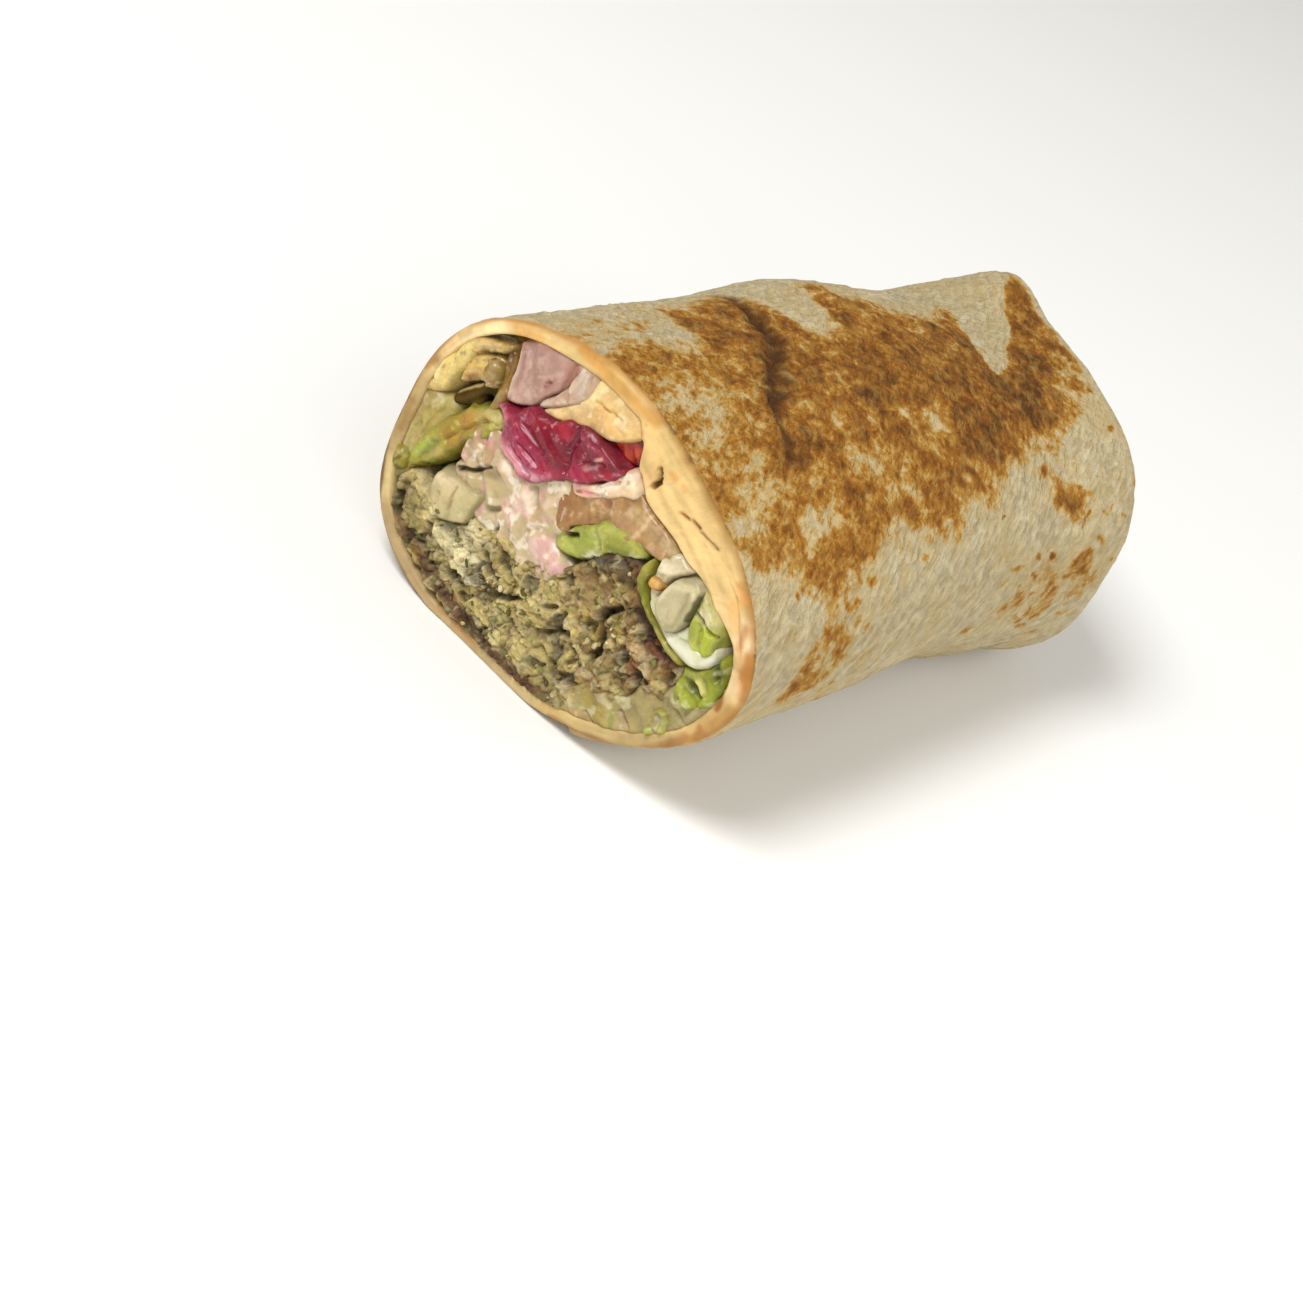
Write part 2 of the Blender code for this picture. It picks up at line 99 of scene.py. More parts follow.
def rollRadius(station, angle):
    station, angle = np.broadcast_arrays(np.asarray(station, float), np.asarray(angle, float))
    across, up = np.cos(np.radians(angle)), np.sin(np.radians(angle))
    far, top = across >= 0, up >= 0
    at = {k: between(roll["stations"], roll[k], station)
          for k in ("far", "near", "top", "bottom", "farTop", "nearTop", "nearBottom", "farBottom")}
    width = np.where(far, at["far"], at["near"])
    height = np.where(top, at["top"], at["bottom"])
    power = np.where(top, np.where(far, at["farTop"], at["nearTop"]), np.where(far, at["farBottom"], at["nearBottom"]))
    radius = (np.abs(across / width) ** power + np.abs(up / height) ** power) ** (-1 / power)
    for place, middle, rise, along, around in roll["swellings"]:
        radius = radius + rise * np.exp(-(((station - place) / along) ** 2 + (turnBetween(angle, middle) / around) ** 2))
    return restLimit(radius, up)


def outsideRadius(station, angle):
    before = turnBetween(roll["seamAngle"], angle)
    step = np.where((before >= 0) & (before < roll["seamSpread"]), roll["seamRise"] * smooth(1 - before / roll["seamSpread"]), 0.0)
    return restLimit(rollRadius(station, angle) + step, np.sin(np.radians(angle)))


def breadThickness(angle):
    return between(roll["breadAngles"], roll["breadThickness"], np.asarray(angle) % 360)


def hollowRadius(station, angle):
    whole = rollRadius(0.0, angle)
    return rollRadius(station, angle) * (whole - breadThickness(angle)) / whole


def cutX(y, z):
    return roll["cutLean"] * z + roll["cutSkew"] * y


def placedX(station, y, z):
    cut = cutX(y, z)
    return cut + (roll["length"] - roll["foldDepth"] + roll["foldSlant"] * y - cut) * station


# Patterns: soft noise and broken grains, worked out point by point.

def noise(points, cell, seed):
    # soft noise from -1 to 1, with features of about this many millimetres
    grid = np.random.default_rng(seed).random((40, 40, 40))
    place = np.asarray(points, float) / cell
    base = np.floor(place).astype(int)
    share = place - base
    share = share * share * (3 - 2 * share)
    total = np.zeros(len(place))
    for corner in range(8):
        step = ((corner >> 2) & 1, (corner >> 1) & 1, corner & 1)
        weight = np.ones(len(place))
        for axis in range(3):
            weight = weight * (share[:, axis] if step[axis] else 1 - share[:, axis])
        total += weight * grid[tuple((base[:, axis] + step[axis]) % 40 for axis in range(3))]
    return total * 2 - 1


def layeredNoise(points, cell, seed, layers=3):
    return sum(noise(points, cell / 2 ** i, seed + i) * 0.55 ** i for i in range(layers)) / 1.6


def grains(y, z, size, seed):
    # gap to the next grain (mm), each grain's own three chance numbers and the offset from its middle (mm)
    chance = np.random.default_rng(seed).random((64, 64, 5))
    gy, gz = y / size, z / size
    iy, iz = np.floor(gy).astype(int), np.floor(gz).astype(int)
    first, second = np.full(len(y), 9.0), np.full(len(y), 9.0)
    own, offset = np.zeros((len(y), 3)), np.zeros((len(y), 2))
    for dy in (-1, 0, 1):
        for dz in (-1, 0, 1):
            cell = chance[(iy + dy) % 64, (iz + dz) % 64]
            away = np.stack([gy - iy - dy - cell[:, 0], gz - iz - dz - cell[:, 1]], axis=1)
            distance = np.hypot(away[:, 0], away[:, 1])
            closer = distance < first
            second = np.where(closer, first, np.minimum(second, distance))
            own = np.where(closer[:, None], cell[:, 2:], own)
            offset = np.where(closer[:, None], away, offset)
            first = np.where(closer, distance, first)
    return (second - first) * size, own, offset * size


def strokeShare(y, z, stroke):
    # how strongly a brush stroke from one point to another covers each point
    y1, z1, y2, z2, half = stroke[:5]
    dy, dz = y2 - y1, z2 - z1
    t = np.clip(((y - y1) * dy + (z - z1) * dz) / max(dy * dy + dz * dz, 1e-6), 0, 1)
    distance = np.hypot(y - y1 - t * dy, z - z1 - t * dz)
    return np.exp(-(distance / half) ** 3)


def linear(hexColour):
    parts = [int(hexColour[i:i + 2], 16) / 255 for i in (1, 3, 5)]
    return np.array([c / 12.92 if c <= 0.04045 else ((c + 0.055) / 1.055) ** 2.4 for c in parts])


def addNode(tree, kind, settings=None, links=None):
    node = tree.nodes.new(kind)
    for key, value in (settings or {}).items():
        if key.startswith("in:"):
            name = key[3:]
            node.inputs[int(name) if name.isdigit() else name].default_value = value
        else:
            setattr(node, key, value)
    for socket, source in (links or {}).items():
        tree.links.new(source, node.inputs[int(socket) if socket.isdigit() else socket])
    return node


def makePiece(name, points, faces, material, nodes, attributes=None):
    # points are roll millimetres
    mesh = bpy.data.meshes.new(name)
    mesh.from_pydata(((np.asarray(points) + rollOrigin) * mm).tolist(), [], faces)
    mesh.update()
    for key, values in (attributes or {}).items():
        values = np.asarray(values, np.float32)
        if values.ndim == 1:
            mesh.attributes.new(key, "FLOAT", "POINT").data.foreach_set("value", values)
        elif key == "tint":
            rgba = np.concatenate([np.clip(values, 0, 1), np.ones((len(values), 1), np.float32)], axis=1)
            mesh.attributes.new(key, "FLOAT_COLOR", "POINT").data.foreach_set("color", rgba.ravel())
        else:
            mesh.attributes.new(key, "FLOAT_VECTOR", "POINT").data.foreach_set("vector", values.ravel())
    mesh.materials.append(material)
    mesh.shade_smooth()
    piece = bpy.data.objects.new(name, mesh)
    bpy.context.scene.collection.objects.link(piece)
    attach(piece, "root")
    if nodes:
        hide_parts(*nodes)
    return piece


def tubeFaces(first, second, sides):
    # quads from the ring that starts at one index to the ring that starts at another
    return [(first + i, first + (i + 1) % sides, second + (i + 1) % sides, second + i) for i in range(sides)]


# Materials

def newMaterial(name):
    material = bpy.data.materials.new(name)
    material.use_nodes = True
    tree = material.node_tree
    return material, tree, tree.nodes["Principled BSDF"]


bread = {
    "topDensity": 1.25, "bottomDensity": 0.75, "sides": 372, "rows": 176, "rimRows": 24, "endRows": 40,
    "rimRound": 0.7,
    "crinkles": [(-36, 3.0, 1.0, 0.62), (14, 2.0, 1.1, 0.38)],      # slant, length, width and share of the fine stretch wrinkles
    "wrinkleHeight": 0.42, "wrinkleLong": 6.0, "wrinkleWide": 1.8,
    "swellHeight": 0.35, "blisterHeight": 0.16,
    # the near-black brown #462a14 below is painted into the creases: painted shade
    "pale": "#a89978", "palest": "#c9bc99", "warm": "#bba575", "freckle": "#a98a56", "gilded": "#cbb080", "dust": "#c09d52", "char": "#462a14", "cutCream": "#d6b678", "cutEdge": "#ab7636",
    "toast": [(0.2, "#b49c68"), (0.32, "#b08e50"), (0.43, "#a97b32"), (0.55, "#96611e"), (0.68, "#82501a"), (0.84, "#6c4317"), (1.0, "#553411")],
    "blotches": 1.55, "speckles": 1.0,      # how far the browning swings either way
    # where the griddle browned the top: edges of the browned area as station %, angle
    "upperEdge": [(0, 72), (4, 66), (8, 60), (12, 66), (17, 70), (21, 66), (22.5, 52), (24, 45), (33, 43), (38, 40), (40.5, 50), (42, 66), (45, 74), (48.5, 70), (50, 62), (52, 50), (56, 48), (57, 60), (62, 58), (64, 66), (76, 68), (80, 62), (100, 58)],
    "lowerEdge": [(0, 150), (5, 154), (10, 157), (14, 161), (18, 165), (22, 163), (26, 158), (30, 154), (34, 152), (40, 153), (44, 151), (50, 155), (55, 150), (62, 149), (65, 145), (72, 141), (82, 140), (86, 136), (90, 134), (93, 131), (100, 120)],
    # patches: station %, angle, reach along %, reach round, browner (+) or paler (-)
    "patches": [
        (25, 62, 3.5, 9, 0.14), (29, 50, 4, 6, 0.10), (34, 90, 5, 9, 0.10), (42, 112, 4, 5, 0.16), (46, 146, 6, 5, 0.14), (44, 104, 7, 4, 0.12), (34, 146, 3, 5, 0.14),
        (26, 131, 2, 2.5, 0.14), (27, 138, 4, 2, 0.12), (19.5, 122, 2.6, 6, 0.20), (24, 117.5, 0.9, 2, 0.26), (16, 115, 4, 8, 0.08), (4, 82, 5, 6, 0.08),
        (3, 140.5, 4, 4, -0.32), (12.5, 124, 1.4, 2.5, -0.25), (18.5, 142, 5, 5, -0.26), (32, 129.5, 6, 4.5, -0.30), (39, 140, 5, 4, -0.32), (41, 102, 2, 3, -0.22), (32.5, 113, 3, 3, -0.20),
        (48, 117, 2, 3, -0.20), (7, 86, 1.6, 2.5, -0.20), (16, 76, 2, 5, -0.16), (3, 94, 1.2, 5, -0.18), (10, 60, 5, 8, -0.15), (22, 148, 3, 3, -0.15), (41, 78, 3, 6, -0.08), (13, 134, 3, 3, -0.12),
        (52, 90, 8, 14, 0.14), (37, 115, 8, 20, 0.02), (71, 112, 16, 28, 0.14), (9, 108, 9, 30, -0.23), (50, 107, 6, 8, 0.09), (60, 128, 6, 10, 0.10), (68, 132, 7, 8, 0.12), (62, 146, 5, 3, 0.18), (73, 80, 2.2, 5, 0.20), (76.5, 87, 1.6, 4, 0.18), (80, 66, 1, 6, 0.18),
        (82, 124, 4, 9, 0.20), (84.5, 112, 4, 6, 0.20), (90, 104, 4, 9, 0.20), (96, 84, 5, 10, 0.22), (99, 68, 3, 8, 0.24), (89, 124, 1.8, 4, 0.22), (90.5, 131, 1.6, 2.5, 0.22), (75, 118, 6, 7, 0.10), (57, 62, 2.5, 6, 0.12),
        (73, 94, 2.5, 5, -0.18), (66, 76, 6, 9, -0.10), (66, 66, 4, 4, -0.12), (55, 123, 4, 6, -0.20), (59, 117, 2, 3, -0.10), (97, 112, 4, 6, -0.18), (93, 122, 2.5, 4, -0.15), (52, 121, 2, 3, -0.12),
    ],
    # browned spots outside the browned area: station %, angle, reach along %, reach round, strength
    "spots": [
        (54, 56, 1.2, 6, 0.55), (60, 64, 3, 3, 0.50), (14, 146, 2.2, 2.4, 0.50), (16, 159, 1.5, 1.6, 0.62), (18.5, 153, 0.9, 1.2, 0.62), (11.5, 156, 0.8, 1.0, 0.5), (10.5, 159, 0.8, 1.0, 0.5),
        (22.5, 164, 2.2, 3, 0.5), (28, 158.5, 2.6, 1.6, 0.5), (41, 156, 0.9, 0.9, 0.6), (17, 172, 2.2, 3, 0.42), (14.5, 175, 2, 3.5, 0.5), (20, 177, 2.4, 3.5, 0.5), (18, 181, 3, 3, 0.48), (13, 181, 2, 2.5, 0.45),
        (24, 186, 4, 3, 0.42), (30, 193, 6, 3, 0.40), (85, 152, 3.8, 3, 0.62), (82.5, 147, 2, 1.8, 0.58), (78, 146, 1.4, 1.8, 0.56), (88.5, 157.5, 1.2, 1.6, 0.6), (63.5, 152.5, 1.2, 0.7, 0.6),
        (99, 123, 0.8, 2.5, 0.6), (99.5, 136, 0.8, 2, 0.61), (99, 172.5, 1, 1.5, 0.56), (95, 157, 3, 1, 0.36), (99, 159, 2, 1, 0.36),
        (80, 165, 1.4, 1.3, 0.57), (75.5, 165.5, 1.6, 1.2, 0.55), (75, 171, 1.9, 1.3, 0.57), (77.5, 175, 1.8, 1.7, 0.59), (72, 175.5, 1.2, 1.4, 0.53), (69, 168.5, 2.2, 1.3, 0.53), (89, 170, 2.2, 1.6, 0.59),
        (88.5, 175, 2.4, 1.9, 0.59), (92, 175, 1.8, 1.6, 0.59), (84.5, 180, 2.7, 1.9, 0.61), (78, 185, 2.4, 1.3, 0.58), (82, 178.5, 1.6, 1.3, 0.53), (84.5, 188.5, 2, 1.4, 0.58), (89, 194, 2.2, 1.4, 0.55),
        (93.5, 187.5, 2.7, 1.4, 0.55), (80.5, 186, 1.6, 1.2, 0.53), (86, 185, 2.2, 1.4, 0.55), (62.5, 185, 3.4, 2.2, 0.45), (95, 166, 1.9, 1.7, 0.53), (71, 181, 2, 1.4, 0.49), (66, 171, 1.6, 1.2, 0.47),
        (81, 176, 11, 13, 0.20), (30, 14, 5, 5, 0.34), (36, 8, 3, 3, 0.38), (66, 20, 4, 4, 0.36), (12, 356, 4, 4, 0.32), (80, 10, 3, 4, 0.46), (52, 352, 5, 3, 0.36), (90, 340, 4, 5, 0.42), (20, 335, 3, 3, 0.34),
        (9, 208, 4, 3, 0.34), (40, 208, 5, 3, 0.32), (60, 214, 4, 3, 0.36), (55, 30, 6, 4, 0.30), (8, 18, 3, 5, 0.30), (12, 55, 13, 13, 0.27), (3, 60, 5, 10, 0.30), (48, 52, 12, 7, 0.16), (70, 62, 7, 5, 0.18), (9, 166, 8, 6, 0.18), (19, 174, 7, 8, 0.30), (80, 150, 8, 8, 0.30), (84, 151, 5.5, 5.5, 0.66), (80, 176, 13, 13, 0.33), (18.5, 166, 3.5, 10, 0.46), (14.5, 179, 3.5, 6, 0.46), (9, 150, 4, 5, 0.34), (25, 168, 3, 4, 0.4), (83, 182, 7, 4, 0.44), (89, 171, 5, 4, 0.44), (76, 172, 4, 3, 0.42), (28, 176, 6, 6, 0.2), (94, 178, 7, 12, 0.24), (97, 150, 4, 8, 0.2),
    ],
    # the underside was griddled too: two broad browned areas
    "underPatches": [(30, 262, 24, 22, 0.62), (68, 282, 22, 24, 0.66), (48, 300, 16, 14, 0.5), (12, 300, 10, 14, 0.48), (88, 250, 10, 16, 0.5)],
    # the crease across the top, painted dark as shade in the fold (painted shade), as station %, angle, half width %
    # and strength
    "crease": [(38.5, 44, 0.9, 0.9), (38, 52, 1.0, 1.0), (36.8, 59, 1.2, 1.1), (35, 70, 1.6, 1.15), (31, 81, 2.2, 1.15), (28, 92.5, 2.6, 1.15), (24.5, 100, 2.0, 1.1), (21, 110, 1.3, 1.0), (19.5, 114, 1.0, 0.7), (19.5, 122, 2.0, 0.75)],
    # the clean corner of bread near the fold, station %, angle
    "cleanCorner": [(82, 40), (82, 61), (79.5, 80), (78, 92), (77, 105), (77.6, 107.5), (81, 107), (84, 100), (88, 92), (91.5, 84), (93.5, 74), (96.5, 66), (100, 59), (104, 40)],
    # the cut rim: strokes of colour as y1, z1, y2, z2, half width, colour, strength (drawn for the bigger cut)
    "rimStrokes": [
        (-38, 3, -37, -10, 3.2, "#cfae72", 0.9), (-34, -14, -18, -25, 3.0, "#c6b07c", 0.9), (-10, -26.5, 12, -26.5, 2.6, "#c0ac7e", 0.9),
        (-40.1, -2, -37.4, -10, 1.5, "#ad8145", 0.8), (-38.7, 6.4, -39.8, 1.6, 1.3, "#b27c3a", 0.8), (-33.6, -13.4, -27, -18.6, 1.6, "#a98f5e", 0.7), (-24.6, -20.4, -16, -24.6, 2.0, "#c2a870", 0.7),
        (12, -25, 30, -21, 2.6, "#b09870", 0.8), (34, -14, 37, -2, 3.0, "#bfa274", 0.75), (37, 0, 36.5, 6, 3.0, "#c7a670", 0.75),
        (14, -24, 4, -25, 1.0, "#9c6a35", 0.7), (-27, -20.5, -14, -25.2, 0.7, "#9a6737", 0.75), (-38, -8, -30, -18, 0.6, "#a97a48", 0.55),
        (-6, 14, -33, 8, 2.6, "#f0cf98", 0.75), (-12, 18, -30, 14, 3.2, "#f1cd8c", 0.55), (-35, 10, -38.5, 2, 2.4, "#e8cfa2", 0.75),
        (-38, 8.5, -39, 7, 1.6, "#f3dfb8", 0.8),
        (34.2, 14.2, 36.8, 8.4, 1.1, "#96693b", 0.7), (36.6, 9.6, 37.8, 3.6, 0.7, "#74502a", 0.7),
        # the near-black strokes #3b2414 and #4a2c18 lie in the two deepest slits: painted shade
        (-8.6, 18.4, -10.4, 18.4, 1.6, "#dfb676", 0.7), (-9.3, 20, -10.3, 18.4, 0.42, "#3b2414", 1.0), (-10.3, 18.4, -9.7, 16.9, 0.34, "#4a2c18", 1.0),
        (-16.3, 17.0, -17.6, 17.1, 0.32, "#a8692f", 0.9), (-18.6, 17.4, -20.0, 17.2, 0.36, "#8d5626", 0.9), (-20.8, 16.9, -24.2, 16.6, 0.3, "#a98a5c", 0.8),
        (-30.4, 14.4, -32.6, 13.4, 0.9, "#cf8f4a", 0.75), (-35.2, 10.0, -35.6, 7.2, 0.8, "#b8743a", 0.7), (-38.3, 4.6, -38.6, 4.0, 0.7, "#8e4a22", 0.9), (-37.2, -0.8, -37.9, -2.8, 0.45, "#93562a", 0.8), (-36.8, -7.6, -37.2, -9.4, 0.5, "#a4703a", 0.7),
        (-37.2, 5.5, -38.8, 3.6, 1.6, "#d0a062", 0.6), (-31.6, 11.5, -33.4, 9.0, 1.2, "#eeb96f", 0.6),
        (7.8, 24.9, 6.2, 24.9, 0.7, "#c98743", 0.75), (5.2, 24.2, 4.4, 24.2, 0.35, "#b7713a", 0.7), (-2.3, 22.6, -3.9, 22.6, 0.45, "#b04328", 0.9),
        (-3.6, 24.1, -3.9, 24.1, 0.22, "#a85a33", 0.9), (-11.3, 21.0, -12.6, 20.8, 0.5, "#c98a45", 0.6), (-14.0, 20.6, -15.0, 20.2, 0.4, "#c98a45", 0.5),
        (-7.2, 17.0, -8.2, 15.2, 0.8, "#ecae5c", 0.6), (-5.0, 23.6, -7.0, 21.8, 1.6, "#f5cd88", 0.6), (-1, 20, -8.6, 15.6, 1.6, "#f3c98e", 0.6),
        (36, 6.5, 37, 4, 0.6, "#9c5f2c", 0.7), (33, 13, 27, 20, 1.2, "#eebb66", 0.6), (24, 21.5, 20, 23.5, 1.0, "#d9a155", 0.6),
        (20, 25.5, -6, 26.2, 1.2, "#dcbf86", 0.7),
        (12, 26.4, -5, 25.6, 1.1, "#cb9546", 0.8), (28, 20, 34.5, 13, 2.4, "#f4dca6", 0.9), (34.5, 13, 37, 4, 2.4, "#dfc088", 0.85), (37, 4, 36.6, -9, 2.4, "#b39a68", 0.9), (34.8, -11, 32.8, -16.4, 1.4, "#cdb780", 0.85), (32, -18.5, 28, -21, 2.0, "#ad9266", 0.9),
        (31, -20, 16, -25.6, 2.0, "#b0966c", 0.9), (16, -26, -6, -27, 1.5, "#bca276", 0.7), (35.5, 8.6, 36.8, 6.6, 1.0, "#8f6534", 0.75), (36.2, 0, 35.6, -5, 0.9, "#94713f", 0.6), (32.2, 16.2, 33.4, 14.6, 0.6, "#a67d43", 0.5),
        (37.6, 6, 37.5, -8, 0.55, "#6d4725", 0.85), (37.4, -8, 32.4, -20.5, 0.6, "#60401f", 0.85), (32.4, -20.8, 18, -26.6, 0.6, "#6b4524", 0.8), (18, -27, 6, -27.6, 0.4, "#8a6238", 0.7),
        (-38.2, 6.8, -39.2, 4.4, 1.2, "#a8722e", 0.8), (-36.6, 1.0, -37.4, -2.4, 0.8, "#95602c", 0.75), (-35.6, -10.4, -33.4, -14.6, 0.9, "#a1733f", 0.7), (-30, -19.6, -26.6, -22, 0.7, "#99683a", 0.7),
        (34.6, 14.4, 37, 7.4, 0.5, "#7d5529", 0.6), (-38.6, 6.5, -40.2, 1.5, 0.8, "#c07b40", 0.55), (-33, -18.4, -36, -14, 0.9, "#c9a468", 0.6), (-24, -23.4, -29, -21, 0.9, "#d3ad73", 0.6),
    ],
    # slits in the cut rim: y1, z1, y2, z2, half width, depth
    "rimSlits": [
        (-9.4, 20.0, -10.4, 18.4, 0.42, 1.7), (-10.4, 18.4, -9.7, 16.9, 0.36, 1.4), (-16.3, 17.0, -17.6, 17.1, 0.3, 0.5), (-18.6, 17.4, -20.0, 17.2, 0.32, 0.7),
        (-20.8, 16.9, -24.2, 16.6, 0.3, 0.5), (-30.6, 14.3, -32.4, 13.4, 0.5, 0.3), (-5.4, 17.4, -6.0, 16.6, 0.35, 0.8),
        (-24.2, 16.4, -31.0, 12.6, 0.3, 0.35), (-31.0, 12.6, -36.5, 6.0, 0.3, 0.4), (-27, -20.5, -14, -25.2, 0.3, 0.4),
    ],
    # browning on the folded end: y, z, reach across, reach up, strength
    "endPatches": [(14, 12, 6, 4, 0.5), (-12, 10, 8, 4.5, 0.55), (-22, 2, 4, 3, 0.45), (3, 16, 5, 3, 0.45), (10, -9, 4, 3, 0.4), (-8, -13, 5, 2.5, 0.42), (22, -6, 3, 4, 0.4), (-24, 12, 4, 4, 0.5)],
    "flap": {"rise": 2.6, "soft": 1.3, "hinge": 2.0, "lean": 0.42, "tuck": 12.0, "tuckLean": 1.1},
}


def breadNoise(tree, slant, size, settings):
    # noise drawn out along a slant in millimetres, wrapped round the roll and lying flat across its folded end
    fold = addNode(tree, "ShaderNodeAttribute", {"attribute_name": "fold"}).outputs["Fac"]
    values = []
    for way in ("wrapped", "endwise"):
        place = addNode(tree, "ShaderNodeAttribute", {"attribute_name": way}).outputs["Vector"]
        turned = addNode(tree, "ShaderNodeMapping", {"vector_type": "TEXTURE", "in:Rotation": (0, 0, math.radians(slant)), "in:Scale": size}, {"Vector": place})
        values.append(addNode(tree, "ShaderNodeTexNoise", {"in:Scale": 1.0, **settings}, {"Vector": turned.outputs[0]}).outputs["Fac"])
    return addNode(tree, "ShaderNodeMix", {}, {"0": fold, "2": values[0], "3": values[1]}).outputs[0]


def flatbreadMaterial():
    # Griddled wheat flatbread, rolled thin and toasted dry: matt, floury and pale, browned in broken
    # blotches where it touched the hot plate, with fine stretch wrinkles.
    material, tree, shader = newMaterial("griddled wheat flatbread")
    surface = addNode(tree, "ShaderNodeTexCoord").outputs["Object"]
    heat = addNode(tree, "ShaderNodeAttribute", {"attribute_name": "browned"}).outputs["Fac"]
    rim = addNode(tree, "ShaderNodeAttribute", {"attribute_name": "rim"}).outputs["Fac"]
    char = addNode(tree, "ShaderNodeAttribute", {"attribute_name": "char"}).outputs["Fac"]
    tint = addNode(tree, "ShaderNodeAttribute", {"attribute_name": "tint"}).outputs["Color"]
    blotch = addNode(tree, "ShaderNodeTexNoise", {"in:Scale": 1 / (4.0 * mm), "in:Detail": 6.0, "in:Roughness": 0.66, "in:Distortion": 0.25}, {"Vector": surface})
    speckle = breadNoise(tree, -48, (1.5, 1.1, 1.5), {"in:Detail": 4.0, "in:Roughness": 0.6, "in:Distortion": 0.2})
    crinkles = []
    for slant, long, wide, share in bread["crinkles"]:
        crinkle = breadNoise(tree, slant, (long, wide, 3.0), {"in:Detail": 3.0, "in:Roughness": 0.55, "in:Distortion": 0.4})
        crinkles.append(addNode(tree, "ShaderNodeMath", {"operation": "MULTIPLY", "in:1": share}, {"0": crinkle}).outputs[0])
    streak = addNode(tree, "ShaderNodeMath", {"operation": "ADD"}, {"0": crinkles[0], "1": crinkles[1]})
    # browning = heat + broken blotches, which only show where there was some heat
    mottle = addNode(tree, "ShaderNodeMath", {"operation": "MULTIPLY_ADD", "in:1": bread["blotches"], "in:2": -0.5 * (bread["blotches"] + bread["speckles"])}, {"0": blotch.outputs["Fac"]})
    mottle = addNode(tree, "ShaderNodeMath", {"operation": "MULTIPLY_ADD", "in:1": bread["speckles"]}, {"0": speckle, "2": mottle.outputs[0]})
    some = addNode(tree, "ShaderNodeMapRange", {"in:From Max": 0.28}, {"Value": heat})
    browning = addNode(tree, "ShaderNodeMath", {"operation": "MULTIPLY"}, {"0": some.outputs[0], "1": mottle.outputs[0]})
    browning = addNode(tree, "ShaderNodeMath", {"operation": "ADD", "use_clamp": True}, {"0": heat, "1": browning.outputs[0]})
    ramp = addNode(tree, "ShaderNodeValToRGB", {}, {"Fac": browning.outputs[0]})
    stops = bread["toast"]
    while len(ramp.color_ramp.elements) < len(stops):
        ramp.color_ramp.elements.new(0.5)
    for element, (place, colour) in zip(ramp.color_ramp.elements, stops):
        element.position = place
        element.color = (*linear(colour), 1)
    flour = addNode(tree, "ShaderNodeMapRange", {"in:From Min": 0.40, "in:From Max": 0.62}, {"Value": streak.outputs[0]})
    dough = addNode(tree, "ShaderNodeMix", {"data_type": "RGBA", "in:6": (*linear(bread["pale"]), 1), "in:7": (*linear(bread["palest"]), 1)}, {"0": flour.outputs[0]})
    broad = addNode(tree, "ShaderNodeTexNoise", {"in:Scale": 1 / (12 * mm), "in:Detail": 2.0, "in:Roughness": 0.6}, {"Vector": surface})
    warmth = addNode(tree, "ShaderNodeMapRange", {"in:From Min": 0.46, "in:From Max": 0.70, "in:To Max": 0.55}, {"Value": broad.outputs["Fac"]})
    dough = addNode(tree, "ShaderNodeMix", {"data_type": "RGBA", "in:7": (*linear(bread["warm"]), 1)}, {"0": warmth.outputs[0], "6": dough.outputs[2]})
    freckle = addNode(tree, "ShaderNodeMapRange", {"in:From Min": 0.60, "in:From Max": 0.72, "in:To Max": 0.6}, {"Value": speckle})
    dough = addNode(tree, "ShaderNodeMix", {"data_type": "RGBA", "in:7": (*linear(bread["freckle"]), 1)}, {"0": freckle.outputs[0], "6": dough.outputs[2]})
    # the flecks left pale inside the browned area have dried to a warm gold
    gilded = addNode(tree, "ShaderNodeMapRange", {"in:From Min": 0.18, "in:From Max": 0.5, "in:To Max": 0.8}, {"Value": heat})
    dough = addNode(tree, "ShaderNodeMix", {"data_type": "RGBA", "in:7": (*linear(bread["gilded"]), 1)}, {"0": gilded.outputs[0], "6": dough.outputs[2]})
    edge = addNode(tree, "ShaderNodeMapRange", {"interpolation_type": "SMOOTHSTEP", "in:From Min": 0.08, "in:From Max": 0.44}, {"Value": browning.outputs[0]})
    floury = addNode(tree, "ShaderNodeMix", {"data_type": "RGBA"}, {"0": edge.outputs[0], "6": dough.outputs[2], "7": ramp.outputs["Color"]})
    dusting = breadNoise(tree, -60, (2.8, 1.5, 2.0), {"in:Detail": 5.0, "in:Roughness": 0.62, "in:Distortion": 0.3})
    dusted = addNode(tree, "ShaderNodeMapRange", {"in:From Min": 0.48, "in:From Max": 0.72, "in:To Max": 0.45}, {"Value": dusting})
    floury = addNode(tree, "ShaderNodeMix", {"data_type": "RGBA", "in:7": (*linear(bread["dust"]), 1)}, {"0": dusted.outputs[0], "6": floury.outputs[2]})
